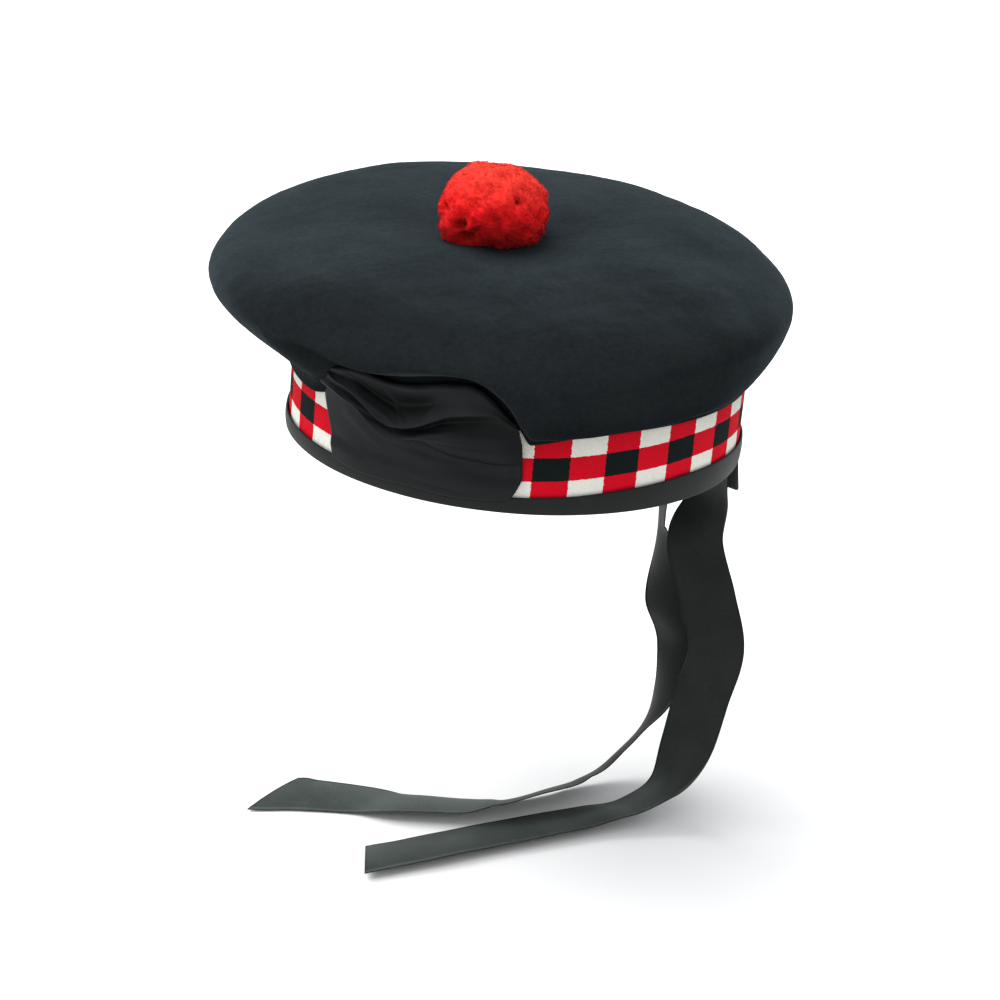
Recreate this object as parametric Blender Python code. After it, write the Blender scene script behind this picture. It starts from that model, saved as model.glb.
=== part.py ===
"""Balmoral bonnet held as a head holds it: soft felt crown, diced band, bound rim, cockade, toorie and two tails.

Metres, +Z up, the wearer faces -Y, and the rim plane is z = 0 with the head's centre at the origin.
"""

import math

import bmesh
import bpy
import numpy as np

MM = 0.001
HEAD_GIRTH = 580 * MM
CLOTH_GAP = 0.3 * MM

# Side axes: the crown leans and the tails sweep along axes turned from the wearer's own.
LEAN_TURN = math.radians(65)
ALONG = np.array([math.cos(LEAN_TURN), math.sin(LEAN_TURN), 0.0])
OUTWARD = np.array([math.sin(LEAN_TURN), -math.cos(LEAN_TURN), 0.0])
UPWARD = np.array([0.0, 0.0, 1.0])

# Diced headband and the tape that binds the rim.
BAND_WALL = 2.2 * MM
BAND_HEIGHT = 34.8 * MM
BAND_FOOT = 1.6 * MM
BAND_OVAL = 0.0115
BAND_RADIUS = HEAD_GIRTH / (2 * math.pi) + BAND_WALL
BAND_EDGE_ROUND = 0.7 * MM
TAPE_WALL = 0.9 * MM
TAPE_HEIGHT = 8.7 * MM
TAPE_INNER_SHARE = 0.86
RING_STEPS = 72

# Felt crown. Reach, drop and flare are shares of the band radius, lip is a share of the crown height.
CROWN_HEIGHT = 81.3 * MM
CROWN_WALL = 2.5 * MM
CROWN_HEM = BAND_HEIGHT + CLOTH_GAP
DOME_RISE = 22.5 * MM
DOME_FULLNESS = 2.57
DOME_ROUNDING = 2.24
BUTTON_ALONG = -13.8 * MM
BUTTON_OUT = -12.9 * MM
CROWN_STEPS = 60
DOME_ROWS = 8
FLANK_ROWS = 11
CROWN_SECTIONS = [
    # reach, lip, drop, flare, lean of the flare in degrees
    (1.339, 0.738, 0.106, 0.053, 63.0),  # left of the back seam
    (1.302, 0.879, 0.159, 0.159, 31.0),  # back right
    (1.302, 0.892, 0.148, 0.190, 29.0),  # wearer's right
    (1.254, 0.867, 0.132, 0.200, 25.0),  # front right
    (1.275, 0.763, 0.037, 0.053, 52.0),  # front
    (1.286, 0.726, 0.042, 0.085, -6.0),  # front left
    (1.249, 0.600, 0.200, 0.080, 10.0),  # wearer's left
    (1.212, 0.652, 0.215, 0.063, 30.0),  # back left
]
NECK_GATHERS = 20
GATHER_DEPTH = 0.7 * MM
GATHER_CENTRE = 0.78
GATHER_SPREAD = 0.12
CROWN_DENTS = [
    # direction from the lean in degrees, share of the reach, half width in degrees, half width as a share, depth
    (-20.0, 0.84, 22.0, 0.13, 1.8 * MM),
    (168.0, 0.72, 24.0, 0.14, 1.0 * MM),
    (-95.0, 0.62, 30.0, 0.16, 0.9 * MM),
]

# Cockade: a flat ribbon panel with a pinched and folded bow over it. Turns are from the outward axis.
COCKADE_START = math.radians(-50.5)
COCKADE_END = math.radians(1.5)
COCKADE_HEIGHT = 48.0 * MM
COCKADE_SLANT = math.radians(5.5)
PANEL_WALL = 1.2 * MM
PANEL_STEPS = 18
PANEL_ROWS = 6
PANEL_STEP_RISE = 3.5 * MM
BOW_WALL = 1.1 * MM
BOW_STEPS = 26
BOW_ROWS_PER_FOLD = 2
RECESS_SIDE = math.radians(5)
RECESS_FADE = math.radians(13)
RECESS_RISE = 9.0 * MM
RECESS_MARGIN = 4.5 * MM
FOLD_DEPTH = 6.0 * MM
STATIONS = [0.0, 0.2, 0.42, 0.5, 0.7, 0.9, 1.0]
# Heights of the panel's own edges, as shares of the cockade height at the stations.
PANEL_TOP = [0.80, 0.83, 0.80, 0.80, 0.82, 0.80, 0.72]
PANEL_FOOT = [0.15, 0.115, 0.13, 0.13, 0.11, 0.15, 0.185]
BOW_FOLDS = [
    # name, heights as shares of the cockade height, stand-offs as shares of the fold depth
    ("upper_edge", [0.88, 0.97, 0.965, 0.985, 1.00, 0.96, 0.80], [0.22, 0.30, 0.42, 0.50, 0.42, 0.30, 0.20]),
    ("upper_crest", [0.87, 0.94, 0.925, 0.935, 0.955, 0.93, 0.79], [0.26, 0.48, 0.62, 0.74, 0.66, 0.50, 0.26]),
    ("hollow", [0.865, 0.88, 0.78, 0.82, 0.90, 0.91, 0.775], [0.27, 0.34, 0.24, 0.20, 0.56, 0.56, 0.28]),
    ("upper_ridge", [0.85, 0.80, 0.645, 0.665, 0.83, 0.88, 0.76], [0.30, 0.78, 1.00, 0.98, 0.86, 0.66, 0.30]),
    ("groove", [0.80, 0.735, 0.60, 0.615, 0.755, 0.80, 0.70], [0.26, 0.30, 0.44, 0.40, 0.26, 0.36, 0.30]),
    ("lower_ridge", [0.755, 0.685, 0.515, 0.565, 0.565, 0.52, 0.54], [0.30, 0.66, 0.94, 0.86, 0.60, 0.52, 0.34]),
    ("lower_edge", [0.725, 0.655, 0.485, 0.515, 0.45, 0.43, 0.45], [0.22, 0.24, 0.26, 0.26, 0.24, 0.24, 0.22]),
]

# Wool toorie.
TOORIE_RADIUS = 23.3 * MM
TOORIE_RISE = 18.4 * MM
TOORIE_LIFT = 11.6 * MM
TOORIE_SHIFT = -2.6 * MM
TOORIE_FULLNESS = 2.6
TOORIE_DIMPLE = 1.8 * MM
DIMPLE_SPREAD = 0.28
TOORIE_LOCKS = 70
LOCK_DEPTH = 0.075
LOCK_WIDTH = math.radians(17)
TOORIE_TURNS = 32
TOORIE_ROWS = 18

# Ribbon tails. Places are shares of the band radius in the side axes, and heights are shares of the drop.
RIBBON_WIDTH = 25 * MM
RIBBON_WALL = 1.0 * MM
TAIL_DROP = 180 * MM
TAIL_STEPS = 36
TAIL_ACROSS = 3
TAIL_CURL = 0.05
TAIL_ROOT_STEPS = 10
LEFT_TAIL = [
    # along, outward, height, turn and lift of the width in degrees
    (0.9460, -0.4179, 0.0200, 64.0, 0.0),
    (0.9460, -0.4171, -0.1000, 63.0, 0.0),
    (0.9428, -0.4038, -0.2000, 55.0, 0.0),
    (0.8944, -0.3175, -0.3040, 14.0, 0.0),
    (0.9839, -0.2539, -0.4460, 2.0, 2.0),
    (1.0500, -0.2223, -0.5710, 0.0, 0.0),
    (1.0087, -0.2116, -0.7000, 10.0, -15.0),
    (0.9620, -0.2011, -0.8420, 31.0, -4.0),
    (0.8799, -0.1482, -0.9395, 56.0, 14.0),
    (0.7279, -0.0634, -0.9820, 69.0, 14.5),
    (0.5566, 0.0159, -0.9939, 63.0, 12.0),
    (0.3809, 0.1111, -0.9972, 59.0, 9.0),
    (0.1905, 0.2201, -0.9989, 58.0, 8.0),
    (-0.0212, 0.3428, -0.9989, 58.0, 8.0),
    (-0.2180, 0.4645, -0.9989, 58.0, 8.0),
    (-0.4906, 0.6195, -1.0011, 58.0, 7.0),
]
RIGHT_TAIL = [
    (0.8032, -0.6496, 0.0200, 51.5, 0.0),
    (0.7980, -0.6533, -0.1000, 57.0, 0.0),
    (0.7675, -0.6818, -0.2100, 74.0, 0.0),
    (0.7428, -0.6933, -0.3050, 84.0, 0.0),
    (0.7517, -0.6773, -0.3700, 78.0, 0.0),
    (0.8033, -0.5053, -0.5280, 46.0, 0.0),
    (0.8856, -0.5158, -0.6550, 48.0, 4.0),
    (0.8378, -0.4868, -0.7800, 72.0, 18.0),
    (0.7721, -0.4443, -0.8580, 86.0, 27.0),
    (0.6702, -0.3702, -0.9160, 88.0, 27.0),
    (0.5790, -0.2857, -0.9490, 88.0, 27.0),
    (0.4756, -0.2011, -0.9640, 88.0, 27.0),
    (0.3811, -0.1164, -0.9690, 88.0, 27.5),
    (0.1478, 0.0318, -0.9765, 88.0, 28.0),
    (0.0487, 0.0497, -0.9822, 88.0, 22.0),
    (-0.0614, 0.0614, -0.9917, 88.0, 14.5),
    (-0.2285, 0.0698, -0.9944, 87.0, 12.0),
    (-0.3957, 0.0741, -0.9972, 87.0, 9.5),
    (-0.5756, 0.0402, -1.0067, 87.0, 0.0),
    (-0.8147, 0.0529, -1.0033, 87.0, -4.5),
    (-0.9734, 0.0794, -1.0022, 87.0, -5.5),
]
LEFT_CUT_SLANT = 12 * MM
RIGHT_CUT_SLANT = 24 * MM

# Folded tab that covers the tails' roots at the back seam.
TAB_TOP = 7.5 * MM
TAB_FOOT = -27.0 * MM
TAB_WIDTH = 1.6 * RIBBON_WIDTH
TAB_WALL = 2.2 * MM
TAB_FLARE = 4.5 * MM
TAB_TURN = math.radians(93.5)
TAB_STANDOFF = 3.7 * MM
TAB_STEPS = 8
TAB_ROWS = 8

# Faces that meet at less than this angle are shaded as one surface.
SMOOTH_BELOW = math.radians(40)

COLOURS = {
    "crown": (0.020, 0.026, 0.030),
    "headband": (0.420, 0.060, 0.060),
    "rim_binding": (0.014, 0.018, 0.020),
    "cockade_panel": (0.018, 0.023, 0.026),
    "cockade_bow": (0.012, 0.016, 0.018),
    "toorie": (0.500, 0.020, 0.020),
    "tail_left": (0.022, 0.027, 0.027),
    "tail_right": (0.022, 0.027, 0.027),
    "back_tab": (0.012, 0.014, 0.015),
}


def smooth_step(value, low, high):
    """0 below low, 1 above high, with an eased passage between them."""
    share = np.clip((value - low) / (high - low), 0.0, 1.0)
    return share * share * (3 - 2 * share)


def spline_row(before, start, end, after, t):
    """Catmull-Rom value between start and end."""
    straight = 2 * start + (end - before) * t
    bent = (2 * before - 5 * start + 4 * end - after) * t**2
    turned = (3 * start - before - 3 * end + after) * t**3
    return 0.5 * (straight + bent + turned)


def around(values, share):
    """Closed spline through values spaced evenly over one turn, at shares of the turn."""
    values = np.asarray(values, float)
    place = np.asarray(share) * len(values)
    start = np.floor(place).astype(int)
    rows = [values[(start + step) % len(values)] for step in (-1, 0, 1, 2)]
    return spline_row(*rows, place - start)


def through(rows, count):
    """Open spline through rows of values, as count rows evenly spaced in the table's own steps."""
    rows = np.asarray(rows, float)
    rows = np.vstack([2 * rows[0] - rows[1], rows, 2 * rows[-1] - rows[-2]])
    place = np.linspace(0, len(rows) - 3, count)
    start = np.minimum(place.astype(int), len(rows) - 4)
    share = (place - start)[:, None]
    return spline_row(*[rows[start + step] for step in range(4)], share)


def at_stations(values, share):
    """Value of a cockade table at a share of its length."""
    return np.interp(share, STATIONS, values)


def oval(turn, offset=0.0):
    """Points of the head's oval grown by offset, as x and y."""
    across = BAND_RADIUS * (1 - BAND_OVAL) + offset
    lengthways = BAND_RADIUS * (1 + BAND_OVAL) + offset
    return np.stack([across * np.cos(turn), lengthways * np.sin(turn)], axis=-1)


def make_object(name, points, faces):
    """A mesh object with outward normals and its own material."""
    mesh = bpy.data.meshes.new(name)
    mesh.from_pydata([tuple(p) for p in points], [], [tuple(f) for f in faces])
    shell = bmesh.new()
    shell.from_mesh(mesh)
    bmesh.ops.recalc_face_normals(shell, faces=shell.faces)
    bmesh.ops.triangulate(shell, faces=shell.faces)
    shell.to_mesh(mesh)
    shell.free()
    mesh.shade_smooth()
    mesh.set_sharp_from_angle(angle=SMOOTH_BELOW)
    thing = bpy.data.objects.new(name, mesh)
    bpy.context.scene.collection.objects.link(thing)
    material = bpy.data.materials.new(name)
    material.use_nodes = True
    shader = material.node_tree.nodes["Principled BSDF"]
    shader.inputs["Base Color"].default_value = (*COLOURS[name], 1.0)
    shader.inputs["Roughness"].default_value = 0.85
    mesh.materials.append(material)
    return thing


def ring_solid(name, loops):
    """Closed ring from profile loops, one loop of points for each direction."""
    steps, corners = loops.shape[:2]
    faces = []
    for step in range(steps):
        for corner in range(corners):
            after, beside = (step + 1) % steps, (corner + 1) % corners
            faces.append(
                (step * corners + corner, after * corners + corner, after * corners + beside, step * corners + beside)
            )
    return make_object(name, loops.reshape(-1, 3), faces)


def sheet_solid(name, front, back):
    """Closed slab between two grids of the same size."""
    rows, columns = front.shape[:2]
    total = rows * columns

    def quad(a, b):
        return (a, a + 1, b + 1, b)

    faces = []
    for row in range(rows - 1):
        for column in range(columns - 1):
            here = row * columns + column
            faces.append(quad(here, here + columns))
            faces.append(quad(total + here, total + here + columns)[::-1])
    rim = [column for column in range(columns)]
    rim += [row * columns + columns - 1 for row in range(1, rows)]
    rim += [total - 1 - step for step in range(1, columns)]
    rim += [row * columns for row in range(rows - 2, 0, -1)]
    for start, end in zip(rim, rim[1:] + rim[:1]):
        faces.append((start, end, total + end, total + start))
    return make_object(name, np.concatenate([front.reshape(-1, 3), back.reshape(-1, 3)]), faces)


def grid_normals(grid, closed_columns=False):
    """Unit normals of a grid of points, from its two directions."""
    down = np.gradient(grid, axis=0)
    if closed_columns:
        across = (np.roll(grid, -1, axis=1) - np.roll(grid, 1, axis=1)) / 2
    else:
        across = np.gradient(grid, axis=1)
    normal = np.cross(down, across)
    return normal / np.maximum(np.linalg.norm(normal, axis=-1, keepdims=True), 1e-12)


def button_point():
    """Centre of the crown seen from above, where the toorie sits."""
    return BUTTON_ALONG * ALONG + BUTTON_OUT * OUTWARD


def seam_reach(direction, height):
    """Point where a ray from the button's axis meets the band's oval, at a height."""
    centre = button_point()[:2]
    radii = BAND_RADIUS * np.array([1 - BAND_OVAL, 1 + BAND_OVAL])
    step = direction[:, :2] / radii
    start = centre / radii
    square, cross, rest = (step**2).sum(1), step @ start, start @ start - 1
    reach = (-cross + np.sqrt(cross**2 - square * rest)) / square
    points = button_point() + reach[:, None] * direction
    points[:, 2] = height
    return points


def crown_section(share):
    """Lip, underside handles and hem of the crown at shares of a turn from the lean."""
    turn = LEAN_TURN + 2 * math.pi * share
    direction = np.stack([np.cos(turn), np.sin(turn), 0 * turn], axis=1)
    columns = np.array(CROWN_SECTIONS).T
    reach, lip, drop, flare, lean = [around(column, share)[:, None] for column in columns]
    edge = button_point() + BAND_RADIUS * reach * direction + CROWN_HEIGHT * lip * UPWARD
    hem = seam_reach(direction, CROWN_HEM)
    under_edge = edge - BAND_RADIUS * drop * UPWARD
    slope = np.radians(lean)
    over_hem = hem + BAND_RADIUS * flare * (np.cos(slope) * direction + np.sin(slope) * UPWARD)
    return direction, edge, under_edge, over_hem, hem


def dent_depth(share, radial):
    """How far the shallow dents press the dome in, over the turn and the share of the reach."""
    depth = TOORIE_DIMPLE * np.exp(-((radial / DIMPLE_SPREAD) ** 2)) + 0 * share
    for turn, place, turn_width, place_width, deepest in CROWN_DENTS:
        aside = (share * 360 - turn + 180) % 360 - 180
        near = (aside / turn_width) ** 2 + ((radial - place) / place_width) ** 2
        depth += deepest * np.exp(-near)
    return depth


def beside_cockade(points):
    """1 over the cockade's stretch of the band and a little past it, fading to 0."""
    turn = np.arctan2(points @ ALONG, points @ OUTWARD)
    start, end = COCKADE_START - RECESS_SIDE, COCKADE_END + RECESS_SIDE
    inside = smooth_step(turn, start - RECESS_FADE, start)
    return inside * (1 - smooth_step(turn, end, end + RECESS_FADE))


def tuck_behind_cockade(points):
    """Presses the crown's foot in where the cockade lies on it."""
    top = COCKADE_HEIGHT + RECESS_MARGIN
    low = 1 - smooth_step(points[..., 2], top, top + RECESS_RISE)
    radius = np.hypot(points[..., 0], points[..., 1])
    around_band = np.arctan2(points[..., 1], points[..., 0])
    flush = np.linalg.norm(oval(around_band, -CLOTH_GAP), axis=-1)
    amount = beside_cockade(points) * low
    pressed = radius + (np.minimum(radius, flush) - radius) * amount
    result = points.copy()
    result[..., :2] *= (pressed / np.maximum(radius, 1e-9))[..., None]
    return result


def crown_outer():
    """Outer surface of the crown as rows from beside the pole to the hem."""
    share = np.arange(CROWN_STEPS) / CROWN_STEPS
    direction, edge, under_edge, over_hem, hem = crown_section(share)
    base = button_point() + (CROWN_HEIGHT - DOME_RISE) * UPWARD
    rows = []
    for angle in np.linspace(math.pi / 2, 0, DOME_ROWS + 1)[1:]:
        radial = math.cos(angle) ** (2 / DOME_FULLNESS)
        rise = DOME_RISE * math.sin(angle) ** (2 / DOME_ROUNDING)
        ring = base + radial * (edge - base) + rise * UPWARD
        rows.append(ring - dent_depth(share, radial)[:, None] * UPWARD)
    straightened = beside_cockade(hem)
    for t in np.linspace(0, 1, FLANK_ROWS + 1)[1:]:
        ring = (1 - t) ** 3 * edge + 3 * (1 - t) ** 2 * t * under_edge
        ring = ring + 3 * (1 - t) * t**2 * over_hem + t**3 * hem
        swell = math.exp(-(((t - GATHER_CENTRE) / GATHER_SPREAD) ** 2))
        wave = 0.5 - 0.5 * np.cos(2 * math.pi * NECK_GATHERS * share)
        ring = ring - (GATHER_DEPTH * swell * wave)[:, None] * direction
        ring[:, 2] += straightened * (edge[:, 2] + (hem[:, 2] - edge[:, 2]) * t - ring[:, 2])
        rows.append(ring)
    return tuck_behind_cockade(np.array(rows))


def crown_top(x, y):
    """Height of the dome above a point near the button."""
    offset = np.stack([x, y], axis=-1) - button_point()[:2]
    turn = np.arctan2(offset[..., 1], offset[..., 0])
    share = ((turn - LEAN_TURN) / (2 * math.pi)) % 1
    columns = np.array(CROWN_SECTIONS).T
    reach = BAND_RADIUS * around(columns[0], share)
    lip = CROWN_HEIGHT * around(columns[1], share)
    radial = np.clip(np.linalg.norm(offset, axis=-1) / reach, 0, 1)
    base = CROWN_HEIGHT - DOME_RISE
    rise = DOME_RISE * (1 - radial**DOME_FULLNESS) ** (1 / DOME_ROUNDING)
    return base + radial * (lip - base) + rise - dent_depth(share, radial)


def build_crown():
    """Felt shell: outer and inner surfaces joined at the hem, each closed by a fan at its pole."""
    outer = crown_outer()
    normals = grid_normals(outer, closed_columns=True)
    if (normals[0] @ UPWARD).mean() < 0:
        normals = -normals
    inner = outer - CROWN_WALL * normals
    share = np.arange(CROWN_STEPS) / CROWN_STEPS
    direction = crown_section(share)[0]
    inner[-1] = outer[-1] - CROWN_WALL * direction
    pole = button_point() + (CROWN_HEIGHT - TOORIE_DIMPLE) * UPWARD
    points = [pole, *outer.reshape(-1, 3), pole - CROWN_WALL * UPWARD, *inner.reshape(-1, 3)]
    rows, total = len(outer), len(outer) * CROWN_STEPS + 1
    faces = []
    for step in range(CROWN_STEPS):
        after = (step + 1) % CROWN_STEPS
        faces.append((0, 1 + step, 1 + after))
        faces.append((total, total + 1 + after, total + 1 + step))
        for row in range(rows - 1):
            a, b = 1 + row * CROWN_STEPS + step, 1 + row * CROWN_STEPS + after
            faces.append((a, a + CROWN_STEPS, b + CROWN_STEPS, b))
            faces.append((total + b, total + b + CROWN_STEPS, total + a + CROWN_STEPS, total + a))
        a, b = 1 + (rows - 1) * CROWN_STEPS + step, 1 + (rows - 1) * CROWN_STEPS + after
        faces.append((a, total + a, total + b, b))
    make_object("crown", points, faces)


def ring_loops(profile):
    """Profile points (offset, height) swept round the head's oval."""
    turn = 2 * math.pi * np.arange(RING_STEPS) / RING_STEPS
    loops = []
    for offset, height in profile:
        ring = oval(turn, offset)
        loops.append(np.column_stack([ring, np.full(RING_STEPS, height)]))
    return np.stack(loops, axis=1)


def build_headband():
    """Woven ring, standing in the tape and carrying the crown's hem."""
    inner, bevel = -BAND_WALL, BAND_EDGE_ROUND
    profile = [
        (0.0, BAND_FOOT + bevel),
        (0.0, BAND_HEIGHT - bevel),
        (-bevel, BAND_HEIGHT),
        (inner + bevel, BAND_HEIGHT),
        (inner, BAND_HEIGHT - bevel),
        (inner, BAND_FOOT + bevel),
        (inner + bevel, BAND_FOOT),
        (-bevel, BAND_FOOT),
    ]
    ring_solid("headband", ring_loops(profile))


def build_rim_binding():
    """Tape folded over the band's foot, as a channel open upwards."""
    outside, inside = CLOTH_GAP, -BAND_WALL - CLOTH_GAP
    bed = BAND_FOOT - CLOTH_GAP
    corner = TAPE_WALL / 2
    inner_top = TAPE_HEIGHT * TAPE_INNER_SHARE
    profile = [
        (outside + TAPE_WALL, corner),
        (outside + TAPE_WALL, TAPE_HEIGHT - corner),
        (outside + corner, TAPE_HEIGHT),
        (outside, TAPE_HEIGHT - corner),
        (outside, bed),
        (inside, bed),
        (inside, inner_top - corner),
        (inside - corner, inner_top),
        (inside - TAPE_WALL, inner_top - corner),
        (inside - TAPE_WALL, corner),
        (inside - corner, 0.0),
        (outside + corner, 0.0),
    ]
    ring_solid("rim_binding", ring_loops(profile))


def on_band(share, height, offset):
    """Points over the cockade's stretch of the band, at a share of its length, a height and an offset."""
    start = COCKADE_START + COCKADE_SLANT * (1 - height / COCKADE_HEIGHT)
    turn = start + (COCKADE_END - start) * share
    direction = np.sin(turn)[..., None] * ALONG + np.cos(turn)[..., None] * OUTWARD
    radii = BAND_RADIUS * np.array([1 - BAND_OVAL, 1 + BAND_OVAL])
    radius = 1 / np.linalg.norm(direction[..., :2] / radii, axis=-1)
    points = (radius + offset)[..., None] * direction
    points[..., 2] = height
    return points


def panel_offset(height):
    """Stand-off of the panel's back, which steps out over the tape."""
    over_tape = CLOTH_GAP + TAPE_WALL + CLOTH_GAP
    low = TAPE_HEIGHT + PANEL_STEP_RISE
    return over_tape + (CLOTH_GAP - over_tape) * smooth_step(height, low, low + PANEL_STEP_RISE)


def build_cockade_panel():
    """Flat ribbon that backs the bow and shows below it."""
    share = np.linspace(0, 1, PANEL_STEPS + 1)[:, None]
    down = np.linspace(0, 1, PANEL_ROWS + 1)[None, :]
    top = COCKADE_HEIGHT * at_stations(PANEL_TOP, share)
    foot = COCKADE_HEIGHT * at_stations(PANEL_FOOT, share)
    height = top + (foot - top) * down
    back = on_band(share + 0 * down, height, panel_offset(height))
    front = on_band(share + 0 * down, height, panel_offset(height) + PANEL_WALL)
    sheet_solid("cockade_panel", front, back)


def bow_surface(share):
    """Height and stand-off of the bow's folds at shares of its length, one column for each row of folds."""
    heights = np.array([at_stations(row[1], share) for row in BOW_FOLDS]).T
    standoffs = np.array([at_stations(row[2], share) for row in BOW_FOLDS]).T
    count = (len(BOW_FOLDS) - 1) * BOW_ROWS_PER_FOLD + 1
    heights = through(heights.T, count).T
    standoffs = through(standoffs.T, count).T
    return COCKADE_HEIGHT * heights, FOLD_DEPTH * standoffs


def build_cockade_bow():
    """Folded ribbon pinched at its middle, seated on the panel."""
    share = np.linspace(0, 1, BOW_STEPS + 1)
    height, standoff = bow_surface(share)
    seat = CLOTH_GAP + PANEL_WALL + CLOTH_GAP
    along = share[:, None] + 0 * height
    back = on_band(along, height, np.full_like(height, seat))
    front = on_band(along, height, seat + np.maximum(standoff, BOW_WALL))
    sheet_solid("cockade_bow", front, back)


def lock_directions():
    """Directions spread evenly over a ball, one for each lock of wool."""
    index = np.arange(TOORIE_LOCKS) + 0.5
    height = 1 - 2 * index / TOORIE_LOCKS
    turn = math.pi * (1 + math.sqrt(5)) * index
    flat = np.sqrt(1 - height**2)
    return np.stack([flat * np.cos(turn), flat * np.sin(turn), height], axis=1)


def toorie_swell(directions):
    """Swell of the fused locks in the given directions, 1 at a lock's middle."""
    angle = np.arccos(np.clip(directions @ lock_directions().T, -1, 1))
    return np.exp(-((angle / LOCK_WIDTH) ** 2)).max(axis=-1)


def build_toorie():
    """Head of fused locks, flattened where it sits on the crown."""
    polar = np.linspace(0, math.pi, TOORIE_ROWS + 1)[1:-1]
    turn = 2 * math.pi * np.arange(TOORIE_TURNS) / TOORIE_TURNS
    polar, turn = np.meshgrid(polar, turn, indexing="ij")
    direction = np.stack([np.sin(polar) * np.cos(turn), np.sin(polar) * np.sin(turn), np.cos(polar)], axis=-1)
    poles = np.array([[0, 0, 1.0], [0, 0, -1.0]])
    ball = np.concatenate([direction.reshape(-1, 3), poles])
    swell = 1 - LOCK_DEPTH * (1 - toorie_swell(ball))
    centre = button_point() + TOORIE_SHIFT * ALONG + (CROWN_HEIGHT + TOORIE_LIFT) * UPWARD
    flat = np.linalg.norm(ball[:, :2], axis=1)
    fullness = (flat**TOORIE_FULLNESS + np.abs(ball[:, 2]) ** TOORIE_FULLNESS) ** (-1 / TOORIE_FULLNESS)
    reach = swell * np.where(ball[:, 2] < 0, fullness, 1.0)
    points = centre + ball * reach[:, None] * np.array([TOORIE_RADIUS, TOORIE_RADIUS, TOORIE_RISE])
    seat = crown_top(points[:, 0], points[:, 1]) + CLOTH_GAP
    points[:, 2] = np.maximum(points[:, 2], seat)
    rows, total = TOORIE_ROWS - 1, (TOORIE_ROWS - 1) * TOORIE_TURNS
    faces = []
    for step in range(TOORIE_TURNS):
        after = (step + 1) % TOORIE_TURNS
        faces.append((total, step, after))
        faces.append((total + 1, total - TOORIE_TURNS + after, total - TOORIE_TURNS + step))
        for row in range(rows - 1):
            a, b = row * TOORIE_TURNS + step, row * TOORIE_TURNS + after
            faces.append((a, a + TOORIE_TURNS, b + TOORIE_TURNS, b))
    make_object("toorie", points, faces)


def tail_frame(table):
    """Centres and unit width directions along a tail."""
    rows = through(table, TAIL_STEPS + 1)
    beside = rows[:, :1] * ALONG + rows[:, 1:2] * OUTWARD
    centres = BAND_RADIUS * beside + TAIL_DROP * rows[:, 2:3] * UPWARD
    turn, lift = np.radians(rows[:, 3:4]), np.radians(rows[:, 4:5])
    widths = np.cos(lift) * (np.cos(turn) * ALONG + np.sin(turn) * OUTWARD) + np.sin(lift) * UPWARD
    tangents = np.gradient(centres, axis=0)
    tangents /= np.linalg.norm(tangents, axis=1, keepdims=True)
    widths -= (widths * tangents).sum(1, keepdims=True) * tangents
    widths /= np.linalg.norm(widths, axis=1, keepdims=True)
    return centres, tangents, widths


def build_tail(name, table, slant):
    """Ribbon strip along a table, with a slanted cut at its free end."""
    centres, tangents, widths = tail_frame(table)
    normals = np.cross(tangents, widths)
    across = np.linspace(-0.5, 0.5, TAIL_ACROSS + 1)[None, :, None]
    freed = np.minimum(1, np.arange(TAIL_STEPS + 1) / TAIL_ROOT_STEPS)[:, None, None]
    curl = TAIL_CURL * RIBBON_WIDTH * freed * (1 - 4 * across**2)
    grid = centres[:, None] + across * RIBBON_WIDTH * widths[:, None] + curl * normals[:, None]
    grid[-1] += across[0] * slant * tangents[-1]
    half = RIBBON_WALL / 2 * normals[:, None]
    sheet_solid(name, grid + half, grid - half)


def build_back_tab():
    """Folded tab over the tails' roots, flaring out below the rim."""
    side = np.linspace(-0.5, 0.5, TAB_STEPS + 1)[:, None]
    down = np.linspace(0, 1, TAB_ROWS + 1)[None, :]
    turn = TAB_TURN + side * TAB_WIDTH / BAND_RADIUS + 0 * down
    height = TAB_TOP + (TAB_FOOT - TAB_TOP) * down + 0 * side
    standoff = TAB_STANDOFF + TAB_FLARE * down**1.5 + 0 * side

    def layer(extra):
        ring = [oval(turn[:, row], 0.0) for row in range(TAB_ROWS + 1)]
        base = np.stack(ring, axis=1)
        away = base / np.linalg.norm(base, axis=-1, keepdims=True)
        flat = base + away * (standoff + extra)[..., None]
        return np.concatenate([flat, height[..., None]], axis=-1)

    sheet_solid("back_tab", layer(TAB_WALL), layer(0.0))


def main():
    for thing in list(bpy.data.objects):
        bpy.data.objects.remove(thing)
    build_crown()
    build_headband()
    build_rim_binding()
    build_cockade_panel()
    build_cockade_bow()
    build_toorie()
    build_tail("tail_left", LEFT_TAIL, LEFT_CUT_SLANT)
    build_tail("tail_right", RIGHT_TAIL, RIGHT_CUT_SLANT)
    build_back_tab()


main()
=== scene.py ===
"""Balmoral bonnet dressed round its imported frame: milled wool crown, diced band, bound rim, folded cockade,
wool toorie, folded back tab and two ribbon tails that hang and lie on the floor."""
import math

import bpy
import numpy as np
from mathutils import Matrix, Vector


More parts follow.
